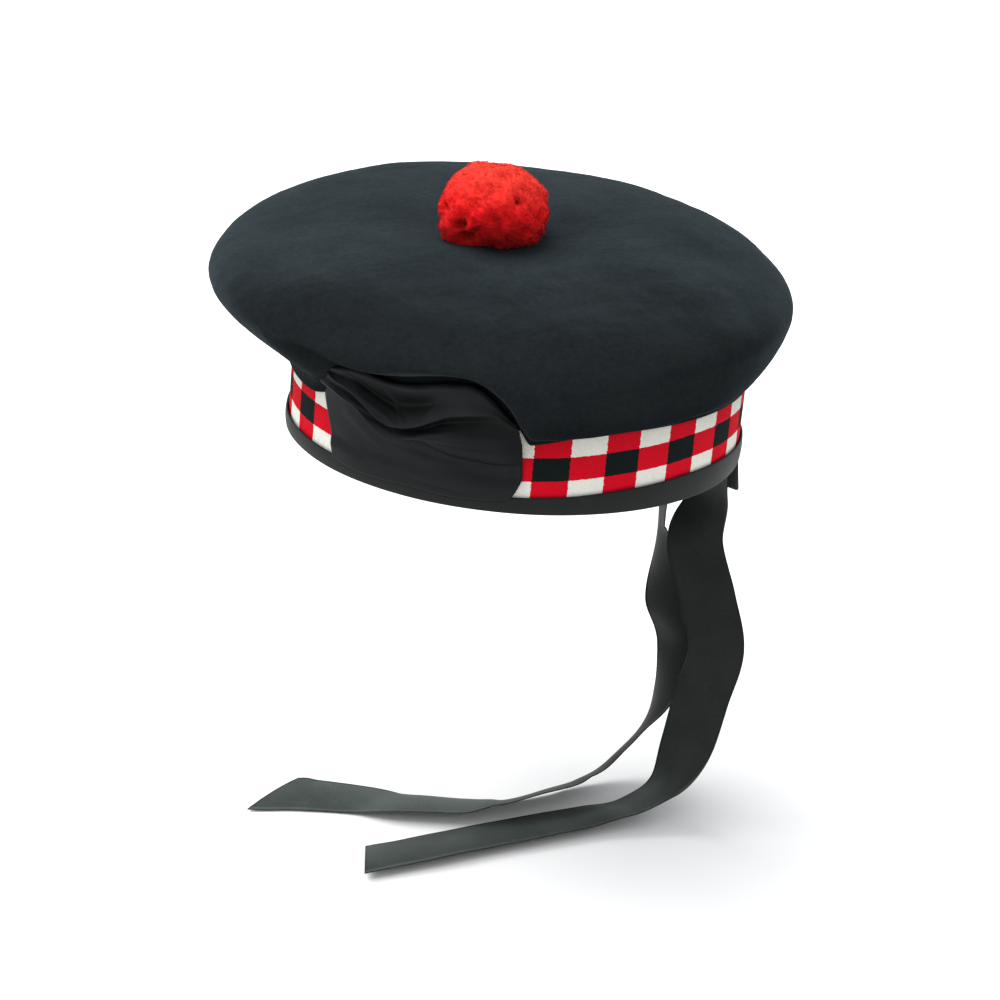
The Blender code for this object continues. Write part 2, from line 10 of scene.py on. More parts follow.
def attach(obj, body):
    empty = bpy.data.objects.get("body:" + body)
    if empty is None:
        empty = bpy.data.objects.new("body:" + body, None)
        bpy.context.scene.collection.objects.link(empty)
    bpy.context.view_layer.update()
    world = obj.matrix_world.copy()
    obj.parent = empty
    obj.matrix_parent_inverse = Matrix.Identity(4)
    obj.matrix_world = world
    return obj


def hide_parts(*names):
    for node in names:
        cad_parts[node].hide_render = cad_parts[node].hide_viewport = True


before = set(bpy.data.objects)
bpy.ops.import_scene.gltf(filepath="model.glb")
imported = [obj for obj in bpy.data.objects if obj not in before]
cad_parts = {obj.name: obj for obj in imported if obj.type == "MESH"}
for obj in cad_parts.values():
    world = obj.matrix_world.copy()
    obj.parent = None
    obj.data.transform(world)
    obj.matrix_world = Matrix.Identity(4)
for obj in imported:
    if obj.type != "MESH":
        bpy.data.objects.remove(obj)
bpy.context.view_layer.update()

MM = 0.001
TAU = 2 * math.pi

# Side axes of the frame: ALONG runs the way the crown leans away from the cockade, OUTWARD runs out through it.
LEAN_TURN = math.radians(65)
ALONG = np.array([math.cos(LEAN_TURN), math.sin(LEAN_TURN), 0.0])
OUTWARD = np.array([math.sin(LEAN_TURN), -math.cos(LEAN_TURN), 0.0])
UPWARD = np.array([0.0, 0.0, 1.0])

# Sizes shared with the CAD.
BAND_WALL = 2.2 * MM
BAND_HEIGHT = 34.8 * MM
BAND_FOOT = 1.6 * MM
BAND_OVAL = 0.0115
BAND_RADIUS = 580 * MM / TAU + BAND_WALL
CLOTH_GAP = 0.3 * MM
TAPE_WALL = 0.9 * MM
TAPE_HEIGHT = 8.7 * MM
TAPE_INNER_SHARE = 0.86
CROWN_HEIGHT = 81.3 * MM
CROWN_WALL = 2.4 * MM
CROWN_HEM = BAND_HEIGHT + CLOTH_GAP
DOME_RISE = 22.5 * MM
DOME_FULLNESS = 2.57
DOME_ROUNDING = 2.24
# The middle of the crown's top, over the rim plane.
BUTTON = -13.8 * MM * ALONG - 12.9 * MM * OUTWARD
CROWN_SECTIONS = [
    # reach, lip, drop, flare, lean of the flare in degrees, every 45 degrees from the lean
    (1.339, 0.738, 0.106, 0.053, 63.0),
    (1.302, 0.879, 0.159, 0.159, 31.0),
    (1.302, 0.892, 0.148, 0.190, 29.0),
    (1.254, 0.867, 0.132, 0.200, 25.0),
    (1.258, 0.756, 0.105, 0.080, 75.0),
    (1.284, 0.726, 0.085, 0.055, 5.0),
    (1.249, 0.600, 0.200, 0.080, 10.0),
    (1.212, 0.652, 0.215, 0.063, 30.0),
]
CROWN_DENTS = [
    # direction from the lean in degrees, share of the reach, half width in degrees, half width as a share, depth
    (-20.0, 0.84, 22.0, 0.13, 1.8 * MM),
    (168.0, 0.72, 24.0, 0.14, 1.0 * MM),
    (-95.0, 0.62, 30.0, 0.16, 0.9 * MM),
]
TOORIE_DIMPLE = 1.8 * MM
# The cockade's stretch of the band, from the outward axis towards the lean.
COCKADE_START = math.radians(-50.5)
COCKADE_END = math.radians(1.5)
COCKADE_HEIGHT = 48 * MM
COCKADE_SLANT = math.radians(5.5)
FOLD_DEPTH = 6 * MM
# Shares of the cockade's length at which its tables give their values.
STATIONS = [0.0, 0.2, 0.42, 0.5, 0.7, 0.8, 0.9, 1.0]
RIBBON_WIDTH = 25 * MM
TAIL_DROP = 180 * MM
FLOOR = -182.6 * MM


def smooth_step(value, low, high):
    """0 below low, 1 above high, with an eased passage between them."""
    share = np.clip((value - low) / (high - low), 0.0, 1.0)
    return share * share * (3 - 2 * share)


def spline_row(before, start, end, after, t):
    """Catmull-Rom value between start and end."""
    straight = 2 * start + (end - before) * t
    bent = (2 * before - 5 * start + 4 * end - after) * t**2
    turned = (3 * start - before - 3 * end + after) * t**3
    return 0.5 * (straight + bent + turned)


def around(values, share):
    """Closed spline through values spaced evenly over one turn, at shares of the turn."""
    values = np.asarray(values, float)
    place = np.asarray(share) * len(values)
    start = np.floor(place).astype(int)
    rows = [values[(start + step) % len(values)] for step in (-1, 0, 1, 2)]
    return spline_row(*rows, place - start)


def through(rows, count):
    """Open spline through rows of values, as count rows evenly spaced in the table's own steps."""
    rows = np.asarray(rows, float)
    rows = np.vstack([2 * rows[0] - rows[1], rows, 2 * rows[-1] - rows[-2]])
    place = np.linspace(0, len(rows) - 3, count)
    start = np.minimum(place.astype(int), len(rows) - 4)
    share = (place - start)[:, None]
    return spline_row(*[rows[start + step] for step in range(4)], share)


def at_stations(values, share):
    """Smooth value of a cockade table at a share of its length, by an eased spline on uneven stations."""
    values = np.asarray(values, float)
    slope = np.gradient(values, STATIONS)
    place = np.clip(np.searchsorted(STATIONS, share, side="right") - 1, 0, len(STATIONS) - 2)
    low = np.take(STATIONS, place)
    span = np.take(STATIONS, place + 1) - low
    t = (share - low) / span
    start, end = values[place], values[place + 1]
    rise, fall = slope[place] * span, slope[place + 1] * span
    return (
        (2 * t**3 - 3 * t**2 + 1) * start
        + (t**3 - 2 * t**2 + t) * rise
        + (3 * t**2 - 2 * t**3) * end
        + (t**3 - t**2) * fall
    )


def over_turns(table, degrees):
    """Value of a table of (degrees from the outward axis, value), averaged over a few degrees so that it runs on
    smoothly."""
    turns, values = np.array(table).T
    return np.mean([np.interp(degrees + aside, turns, values) for aside in np.linspace(-3, 3, 7)], axis=0)


def outward_turn(points):
    """Degrees from the outward axis towards the way the crown leans, seen from above."""
    return np.degrees(np.arctan2(points @ ALONG, points @ OUTWARD))


def ripple(points, length, seed, waves=20):
    """Smooth noise of about unit size: a sum of sine waves of random directions, lengths near length."""
    random = np.random.default_rng(seed)
    heading = random.normal(size=(waves, 3))
    heading /= np.linalg.norm(heading, axis=1, keepdims=True)
    pace = TAU / length * random.uniform(0.6, 1.5, waves)
    phase = random.uniform(0, TAU, waves)
    flat = points.reshape(-1, 3)
    total = np.sin(flat @ (heading * pace[:, None]).T + phase).sum(axis=1)
    return (total / math.sqrt(waves / 2)).reshape(points.shape[:-1])


def grid_normals(grid, closed_columns=False):
    """Unit normals of a grid of points, from its two directions."""
    down = np.gradient(grid, axis=0)
    if closed_columns:
        across = (np.roll(grid, -1, axis=1) - np.roll(grid, 1, axis=1)) / 2
    else:
        across = np.gradient(grid, axis=1)
    normal = np.cross(down, across)
    return normal / np.maximum(np.linalg.norm(normal, axis=-1, keepdims=True), 1e-12)


def oval_radius(turn, offset=0.0):
    """Distance from the origin to the head's oval grown by offset, in the direction turn."""
    across = BAND_RADIUS * (1 - BAND_OVAL) + offset
    lengthways = BAND_RADIUS * (1 + BAND_OVAL) + offset
    return 1 / np.hypot(np.cos(turn) / across, np.sin(turn) / lengthways)


def grid_quads(rows, columns, close_rows=False, close_columns=False):
    """Quads of a grid, and for each corner its place in a UV grid with one row and one column more."""
    row = np.arange(rows if close_rows else rows - 1)[:, None]
    column = np.arange(columns if close_columns else columns - 1)[None, :]
    corners = ((0, 0), (1, 0), (1, 1), (0, 1))
    faces = [(row + a) % rows * columns + (column + b) % columns for a, b in corners]
    places = [(row + a) * (columns + 1) + column + b for a, b in corners]
    return np.stack(faces, -1).reshape(-1, 4), np.stack(places, -1).reshape(-1, 4)


def outward(points, faces):
    """The faces, turned over where they enclose a negative volume."""
    a, b, c, d = (points[faces[:, corner]] for corner in range(4))
    volume = np.einsum("ij,ij->i", a, np.cross(b, c) + np.cross(c, d)).sum()
    return faces[:, ::-1] if volume < 0 else faces


def add_mesh(name, points, faces, material, uv=None, places=None, attributes=None):
    """Smooth mesh object from whole arrays. A quad whose last two corners are the same point is a triangle."""
    points = np.asarray(points, np.float64).reshape(-1, 3)
    faces = np.asarray(faces)
    turned = outward(points, faces)
    if places is not None and turned is not faces:
        places = places[:, ::-1]
    faces = turned
    keep = np.ones(faces.shape, bool)
    keep[:, 1:] = faces[:, 1:] != faces[:, :-1]
    sizes = keep.sum(axis=1)
    mesh = bpy.data.meshes.new(name)
    mesh.vertices.add(len(points))
    mesh.vertices.foreach_set("co", points.astype(np.float32).ravel())
    mesh.loops.add(int(sizes.sum()))
    mesh.loops.foreach_set("vertex_index", faces[keep].astype(np.int32))
    mesh.polygons.add(len(faces))
    mesh.polygons.foreach_set("loop_start", np.concatenate([[0], np.cumsum(sizes)[:-1]]).astype(np.int32))
    mesh.update(calc_edges=True)
    if uv is not None:
        layer = mesh.uv_layers.new(name="weave")
        corner_places = faces if places is None else places
        layer.data.foreach_set("uv", uv.reshape(-1, 2)[corner_places[keep]].astype(np.float32).ravel())
    for title, values in (attributes or {}).items():
        mesh.attributes.new(title, "FLOAT", "POINT").data.foreach_set("value", values.astype(np.float32).ravel())
    mesh.shade_smooth()
    mesh.materials.append(material)
    thing = bpy.data.objects.new(name, mesh)
    bpy.context.scene.collection.objects.link(thing)
    return thing


def dress(thing, node):
    """The piece rides on the body and stands for its CAD node."""
    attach(thing, "root")
    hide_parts(node)
    return thing


def slab(name, front, back, material, uv, attributes=None):
    """Closed slab object between two grids of the same size. uv and the attributes have one entry for each point of
    a grid."""
    rows, columns = front.shape[:2]
    total = rows * columns
    faces = grid_quads(rows, columns)[0]
    rim = np.concatenate([
        np.arange(columns),
        np.arange(1, rows) * columns + columns - 1,
        total - 1 - np.arange(1, columns),
        np.arange(rows - 2, 0, -1) * columns,
    ])
    beside = np.roll(rim, -1)
    edge = np.stack([rim, beside, total + beside, total + rim], -1)
    faces = np.concatenate([faces[:, ::-1], faces + total, edge])
    points = np.concatenate([front.reshape(-1, 3), back.reshape(-1, 3)])
    both = {title: np.concatenate([values.ravel()] * 2) for title, values in (attributes or {}).items()}
    return add_mesh(name, points, faces, material, np.concatenate([uv.reshape(-1, 2)] * 2), attributes=both)


def capped_quads(rows, columns):
    """Quads of a tube of rings, with a fan of triangles at each end on to a pole. The poles follow the rings."""
    step = np.arange(columns)
    after = (step + 1) % columns
    pole = rows * columns
    end = pole - columns
    start_fan = np.stack([after, np.full(columns, pole), step, step], -1)
    end_fan = np.stack([end + step, np.full(columns, pole + 1), end + after, end + after], -1)
    return np.concatenate([grid_quads(rows, columns, close_columns=True)[0], start_fan, end_fan])


def hoop(name, loops, material, uv):
    """Closed ring from profile loops, one loop of points for each direction. uv has one step and one corner more."""
    steps, corners = loops.shape[:2]
    faces, places = grid_quads(steps, corners, close_rows=True, close_columns=True)
    return add_mesh(name, loops, faces, material, uv, places)


CROWN_STEPS = 400
DOME_ROWS = 84
FLANK_ROWS = 80
DENSE_TURNS = (5, -55)
DENSE_WIDTH = 8
DENSE_GAIN = 2.6
CLOTH_SWELLS = [
    # height, length of the waves, seed, number of waves
    (0.42 * MM, 60 * MM, 11, 20),
    (0.07 * MM, 16 * MM, 12, 40),
    (0.02 * MM, 4.5 * MM, 13, 60),
]
# Where the felt is tucked in at the cockade: degrees from the outward axis, then heights over the cockade.
RECESS_START = -43.5
RECESS_LEAD = 13.0
RECESS_END = 1.0
RECESS_FADE = 3.5
RECESS_RISE = 9 * MM
RECESS_MARGIN = 4.5 * MM
# Small gathers round the neck, their place and spread as shares of the way from the lip to the hem.
NECK_GATHERS = 20
GATHER_DEPTH = 0.9 * MM
GATHER_CENTRE = 0.80
GATHER_SPREAD = 0.13
HEM_DROOPS = [
    # degrees from the outward axis, how far the felt hangs below its seam
    (-180, 1.5 * MM),
    (-110, 3.0 * MM),
    (-90, 1.9 * MM),
    (-75, 4.9 * MM),
    (-60, 6.8 * MM),
    (-54, 5.8 * MM),
    (0, 6.2 * MM),
    (3, 6.0 * MM),
    (6, 5.2 * MM),
    (10, 4.1 * MM),
    (14, 2.6 * MM),
    (18, 1.9 * MM),
    (22, 1.3 * MM),
    (28, 0.7 * MM),
    (40, 0.4 * MM),
    (75, 0.4 * MM),
    (100, 1.2 * MM),
    (180, 1.5 * MM),
]
DROOP_CARRIED = 0.6
HEM_BULGE = 1.0 * MM
HEM_BULGE_SHARE = 0.28
HEM_TUCK = -0.35 * MM
HEM_SEAT = [
    # offset from the band, height over the seam
    (0.3 * MM, 0.03 * MM),
    (-0.9 * MM, 0.06 * MM),
    (-CROWN_WALL, 0.3 * MM),
]
HEM_ROLL = [
    # offset from the band as a share of the bulge, height below the seam as a share of the droop
    (1.0, 0.74),
    (0.93, 0.88),
    (0.72, 0.98),
    (0.5, 1.0),
    (0.32, 0.93),
    (0.2, 0.7),
    (0.15, 0.35),
]
CREVICE = [
    # degrees from the outward axis, height of the hollow between the felt and the cockade's upper edge
    (-54, 41.0 * MM),
    (-47, 42.5 * MM),
    (-39, 48.8 * MM),
    (-27.5, 49.4 * MM),
    (-20.6, 51.8 * MM),
    (-14.1, 54.0 * MM),
    (-8.5, 53.8 * MM),
    (-5.4, 50.2 * MM),
    (-0.1, 43.2 * MM),
    (2, 37.0 * MM),
    (4, 27.0 * MM),
    (8, 5.0 * MM),
    (20, -60.0 * MM),
]
# Degrees from the outward axis over which the felt begins and stops resting on the bow.
BOW_BEGINS = (-37, -24)
BOW_ENDS = (2, 14)
EASE_MARGIN = 8 * MM
EASE_PACE = 5.0
LEAST_OVERHANG = 0.001 * MM
BAND_TILT = [
    # degrees from the outward axis, how much higher the woven rows and the tape's upper edge run
    (-180, 0.0),
    (-110, -1.0 * MM),
    (-75, -1.8 * MM),
    (-55, -1.6 * MM),
    (0, -1.7 * MM),
    (8, -1.1 * MM),
    (15, -0.5 * MM),
    (22, 0.5 * MM),
    (30, 1.4 * MM),
    (40, 2.2 * MM),
    (50, 3.0 * MM),
    (62, 2.8 * MM),
    (80, 1.8 * MM),
    (110, 0.5 * MM),
    (180, 0.0),
]


def seam_reach(direction, height):
    """Point where a ray from the button's axis meets the band's oval, at a height."""
    radii = BAND_RADIUS * np.array([1 - BAND_OVAL, 1 + BAND_OVAL])
    step = direction[..., :2] / radii
    start = BUTTON[:2] / radii
    square, cross, rest = (step**2).sum(-1), step @ start, start @ start - 1
    reach = (-cross + np.sqrt(cross**2 - square * rest)) / square
    points = BUTTON + reach[..., None] * direction
    points[..., 2] = height
    return points


def crown_section(share):
    """Lip, underside handles and hem of the crown at shares of a turn from the lean."""
    turn = LEAN_TURN + TAU * share
    direction = np.stack([np.cos(turn), np.sin(turn), 0 * turn], axis=1)
    reach, lip, drop, flare, lean = [around(column, share)[:, None] for column in np.array(CROWN_SECTIONS).T]
    edge = BUTTON + BAND_RADIUS * reach * direction + CROWN_HEIGHT * lip * UPWARD
    hem = seam_reach(direction, CROWN_HEM)
    under_edge = edge - BAND_RADIUS * drop * UPWARD
    slope = np.radians(lean)
    over_hem = hem + BAND_RADIUS * flare * (np.cos(slope) * direction + np.sin(slope) * UPWARD)
    return direction, edge, under_edge, over_hem, hem


def dent_depth(share, radial):
    """How far the shallow dents press the dome in, over the turn and the share of the reach."""
    depth = TOORIE_DIMPLE * np.exp(-((radial / 0.28) ** 2)) + 0 * share
    for turn, place, turn_width, place_width, deepest in CROWN_DENTS:
        aside = (share * 360 - turn + 180) % 360 - 180
        depth = depth + deepest * np.exp(-((aside / turn_width) ** 2 + ((radial - place) / place_width) ** 2))
    return depth


def beside_cockade(points):
    """1 over the cockade's stretch of the band, fading to 0 past its ends."""
    turn = outward_turn(points)
    start = smooth_step(turn, RECESS_START - RECESS_LEAD, RECESS_START)
    return start * (1 - smooth_step(turn, RECESS_END, RECESS_END + RECESS_FADE))


def over_bow(points):
    """1 where the felt comes down straight on to the cockade's upper edge, fading to 0 to either side."""
    turn = outward_turn(points)
    return smooth_step(turn, *BOW_BEGINS) * (1 - smooth_step(turn, *BOW_ENDS))


def overhang(points):
    """Distance from the axis of each point, and how far the band's outer face lies inside it."""
    radius = np.hypot(points[..., 0], points[..., 1])
    flush = oval_radius(np.arctan2(points[..., 1], points[..., 0]), -CLOTH_GAP)
    return radius, flush


def scaled_out(points, radius, pressed):
    """The points moved along their own rays from radius to pressed."""
    result = points.copy()
    result[..., :2] *= (pressed / np.maximum(radius, 1e-9))[..., None]
    return result


def tuck_behind_cockade(points):
    """Presses the crown's foot in where the cockade lies on it."""
    near = over_bow(points)
    line = over_turns(CREVICE, outward_turn(points))
    top = (COCKADE_HEIGHT + RECESS_MARGIN) * (1 - near) + line * near
    low = 1 - smooth_step(points[..., 2], top, top + RECESS_RISE * (1 - near) + MM * near)
    radius, flush = overhang(points)
    amount = beside_cockade(points) * low
    return scaled_out(points, radius, radius + (np.minimum(radius, flush) - radius) * amount)


def ease_over_bow(rows):
    """Draws the felt in over the bow. Above the crevice its overhang grows as far * (1 - exp(-pace * height / far)),
    and the lesser of that and its own overhang is taken, softly."""
    radius, flush = overhang(rows)
    height = rows[..., 2] - over_turns(CREVICE, outward_turn(rows))
    far = (radius - flush).max(axis=0) + EASE_MARGIN
    limit = np.maximum(far * (1 - np.exp(-EASE_PACE * np.maximum(height, 0) / far)), LEAST_OVERHANG)
    out = np.maximum(radius - flush, LEAST_OVERHANG)
    eased = (out**-4 + limit**-4) ** -0.25
    pressed = np.where(radius > flush, radius + (eased + flush - radius) * over_bow(rows), radius)
    return scaled_out(rows, radius, pressed)


def crown_shares():
    """Shares of the turn for the crown's columns, packed more closely at the cockade's two ends."""
    even = np.linspace(0, 1, 4001)
    hem = crown_section(even)[4]
    turn = outward_turn(hem)
    dense = sum((DENSE_GAIN * np.exp(-(((turn - end) / DENSE_WIDTH) ** 2)) for end in DENSE_TURNS), 1)
    passed = np.concatenate([[0.0], np.cumsum((dense[1:] + dense[:-1]) / 2)])
    return np.interp(np.arange(CROWN_STEPS) / CROWN_STEPS * passed[-1], passed, even)


def hem_bulge(droop):
    """How far the hem's roll stands off the band, more where it hangs lower."""
    return HEM_BULGE + HEM_BULGE_SHARE * droop


def crown_rows(share):
    """Outer surface of the crown as rings from beside its middle to the hem.

    The dome is a superellipse over each ray from the button: its reach grows with cos(angle) ** (2 / fullness) and
    its rise with sin(angle) ** (2 / rounding). Below the lip each ray follows a cubic curve in to the band, drawn up
    into small gathers at the neck.
    """
    direction, edge, under_edge, over_hem, hem = crown_section(share)
    angle = np.linspace(math.pi / 2, 0, DOME_ROWS + 1)[1:, None]
    radial = np.cos(angle) ** (2 / DOME_FULLNESS)
    rise = DOME_RISE * np.abs(np.sin(angle)) ** (2 / DOME_ROUNDING)
    base = BUTTON + (CROWN_HEIGHT - DOME_RISE) * UPWARD
    dome = base + radial[..., None] * (edge - base) + rise[..., None] * UPWARD
    dome = dome - dent_depth(share[None, :], radial)[..., None] * UPWARD
    t = np.linspace(0, 1, FLANK_ROWS + 1)[1:, None, None]
    flank = (1 - t) ** 3 * edge + 3 * (1 - t) ** 2 * t * under_edge + 3 * (1 - t) * t**2 * over_hem + t**3 * hem
    swell = np.exp(-(((t - GATHER_CENTRE) / GATHER_SPREAD) ** 2))
    uneven = 0.9 * np.sin(TAU * 3 * share + 1.0) + 0.5 * np.sin(TAU * 7 * share + 2.0)
    wave = 0.5 - 0.5 * np.cos(TAU * NECK_GATHERS * share + uneven)
    strength = 0.75 + 0.45 * np.sin(TAU * 2 * share + 0.6) * np.sin(TAU * 5 * share)
    flank = flank - GATHER_DEPTH * swell * (wave * strength)[None, :, None] * direction
    straightened = beside_cockade(hem)
    level = edge[:, 2] + (hem[:, 2] - edge[:, 2]) * t[..., 0]
    flank[..., 2] += straightened * (level - flank[..., 2])
    flank = tuck_behind_cockade(flank)
    free = (1 - straightened)[None, :, None]
    droop = over_turns(HEM_DROOPS, outward_turn(hem))[None, :, None]
    flank = flank + hem_bulge(droop) * smooth_step(t, 0.7, 1.0) * free * direction
    carried = droop * smooth_step(outward_turn(hem), -70, -20)[None, :, None]
    flank = flank - DROOP_CARRIED * carried * smooth_step(t, 0.4, 1.0) * free * UPWARD
    return ease_over_bow(np.concatenate([dome, flank]))


def soften(rows):
    """Slow swells and small unevenness of the milled cloth, fading out at the hem."""
    normals = grid_normals(rows, closed_columns=True)
    count = len(rows)
    fade = 1 - smooth_step(np.arange(count), count - 14, count - 3)
    relief = sum(tall * ripple(rows, length, seed, waves) for tall, length, seed, waves in CLOTH_SWELLS)
    return rows + (relief * fade[:, None])[..., None] * normals


def hem_rows(hem):
    """Rings of the felt's lower edge, which hangs over the band in a soft roll and is tucked in at the cockade."""
    free = 1 - beside_cockade(hem)
    turn = np.arctan2(hem[:, 1], hem[:, 0])
    droop = over_turns(HEM_DROOPS, outward_turn(hem))
    rows = []
    for share, down in HEM_ROLL:
        radius = oval_radius(turn, HEM_TUCK + (share * hem_bulge(droop) - HEM_TUCK) * free)
        level = CROWN_HEM + 0.03 * MM * (1 - free) - down * droop * free
        rows.append(np.stack([radius * np.cos(turn), radius * np.sin(turn), level], axis=1))
    for offset, lift in HEM_SEAT:
        radius = oval_radius(turn, HEM_TUCK + (offset - HEM_TUCK) * free if offset > HEM_TUCK else offset)
        rows.append(np.stack([radius * np.cos(turn), radius * np.sin(turn), 0 * turn + CROWN_HEM + lift], axis=1))
    return np.array(rows)


def build_crown(material):
    """Felt shell from the middle of its top round the lip and the rolled hem to the middle of its inside.

    The inside is every third row of the outside, set in by the wall along normals that are averaged over 11 rows.
    """
    share = crown_shares()
    hem = crown_section(share)[4]
    outer = soften(crown_rows(share))
    normals = grid_normals(outer, closed_columns=True)
    if (normals[0] @ UPWARD).mean() < 0:
        normals = -normals
    share_each = np.ones(11) / 11
    calm = np.apply_along_axis(lambda row: np.convolve(np.pad(row, 5, "edge"), share_each, "valid"), 0, normals)
    calm /= np.linalg.norm(calm, axis=-1, keepdims=True)
    inner = (outer - CROWN_WALL * calm)[:-6:3][::-1]
    rows = np.concatenate([outer, hem_rows(hem), inner])
    pole = BUTTON + (CROWN_HEIGHT - TOORIE_DIMPLE) * UPWARD
    poles = np.array([pole, pole - CROWN_WALL * UPWARD])
    points = np.concatenate([rows.reshape(-1, 3), poles])
    piece = add_mesh("crown_felt", points, capped_quads(*rows.shape[:2]), material)
    return dress(piece, "crown")


RING_STEPS = 720
BAND_EDGE = 0.7 * MM
BAND_CORNER = 0.2 * MM
BAND_WAVE = 0.12 * MM
TAPE_SWELL = 0.28 * MM
TAPE_FOLD = 1.05 * MM
TAPE_WAVE = 0.10 * MM
DICE_COLUMNS = 40
DICE_PHASE = math.radians(19.6)
DICE_FOOT = 5.4 * MM
DICE_SIDE = 9.8 * MM
TAPE_RIBS = 742
TAPE_PITCH = 0.8


def ring_loops(profile, relief):
    """Profile points (offset, height) swept round the head's oval, with a relief (turn) added to each offset."""
    turn = TAU * np.arange(RING_STEPS) / RING_STEPS
    profile = np.asarray(profile)
    radius = oval_radius(turn[:, None], profile[None, :, 0] + relief[:, None])
    height = np.broadcast_to(profile[None, :, 1], radius.shape)
    return np.stack([radius * np.cos(turn)[:, None], radius * np.sin(turn)[:, None], height], axis=-1)


def ring_uv(across, columns, phase=0.0):
    """UV of a hoop: u counts columns along the turn from a phase, v runs across the profile."""
    turn = TAU * np.arange(RING_STEPS + 1) / RING_STEPS
    along = (turn + phase) / TAU * columns
    across = np.append(across, across[0])
    return np.stack(np.broadcast_arrays(along[:, None], across[None, :]), axis=-1).copy()


def build_headband(material):
    """Woven ring with softly rounded edges, standing in the tape and carrying the crown's hem."""
    edge, corner = BAND_EDGE, BAND_CORNER
    inner = -BAND_WALL
    face = [(0.0, z) for z in np.linspace(BAND_FOOT + edge, BAND_HEIGHT - edge, 24)]
    top = [(-corner, BAND_HEIGHT - corner), (-edge, BAND_HEIGHT), (inner + edge, BAND_HEIGHT)]
    back = [(inner, z) for z in np.linspace(BAND_HEIGHT - edge, BAND_FOOT + edge, 8)]
    foot = [(inner + edge, BAND_FOOT), (-edge, BAND_FOOT), (-corner, BAND_FOOT + corner)]
    profile = face + top + back + foot
    turn = TAU * np.arange(RING_STEPS) / RING_STEPS
    relief = -BAND_WAVE * (1 + np.sin(7 * turn + 0.4) * np.sin(3 * turn + 1.1))
    loops = ring_loops(profile, relief)
    heights = np.array([height for _, height in profile])
    uv = ring_uv((heights - DICE_FOOT) / DICE_SIDE, DICE_COLUMNS, DICE_PHASE)
    tilt = over_turns(BAND_TILT, outward_turn(loops[:, 0]))
    uv[..., 1] -= np.append(tilt, tilt[0])[:, None] / DICE_SIDE
    piece = hoop("diced_band", loops, material, uv)
    return dress(piece, "headband")


def build_rim_binding(material):
    """Ribbed tape folded under the band's foot, softly bowed, with its two selvedges."""
    outside, inside = CLOTH_GAP, -BAND_WALL - CLOTH_GAP
    bed = BAND_FOOT - CLOTH_GAP
    wall = TAPE_WALL
    inner_top = TAPE_HEIGHT * TAPE_INNER_SHARE
    outer_face = []
    for t in np.linspace(0, 1, 12):
        swell = TAPE_SWELL * math.sin(math.pi * t)
        outer_face.append((outside + wall + swell, 1.0 * MM + (TAPE_HEIGHT - 1.35 * MM) * t))
    lip = [(outside + share * wall, TAPE_HEIGHT) for share in (0.75, 0.35)] + [(outside, TAPE_HEIGHT - 0.3 * MM)]
    channel = [(outside, bed), (inside, bed)]
    back_lip = [(inside, inner_top - 0.3 * MM), (inside - 0.4 * wall, inner_top), (inside - wall, inner_top - 0.5 * MM)]
    fold = []
    middle, half = (outside + inside) / 2, (outside - inside) / 2 + wall
    for angle in np.linspace(math.pi, TAU, 14):
        fold.append((middle + half * math.cos(angle), TAPE_FOLD * (1 + math.sin(angle))))
    profile = outer_face + lip + channel + back_lip + fold[:-1]
    turn = TAU * np.arange(RING_STEPS) / RING_STEPS
    relief = TAPE_WAVE * np.sin(9 * turn + 0.7) * np.sin(4 * turn)
    across = np.concatenate([[0.0], np.cumsum(np.linalg.norm(np.diff(np.array(profile), axis=0), axis=1))])
    loops = ring_loops(profile, relief)
    outer = np.arange(len(profile)) < len(outer_face) + len(lip)
    raised = np.where(outer, np.clip(np.array(profile)[:, 1] / TAPE_HEIGHT, 0, 1), 0)
    loops[..., 2] += over_turns(BAND_TILT, outward_turn(loops[:, :1])) * raised
    piece = hoop("rim_tape", loops, material, ring_uv(across / MM, TAPE_RIBS * TAPE_PITCH))
    return dress(piece, "rim_binding")


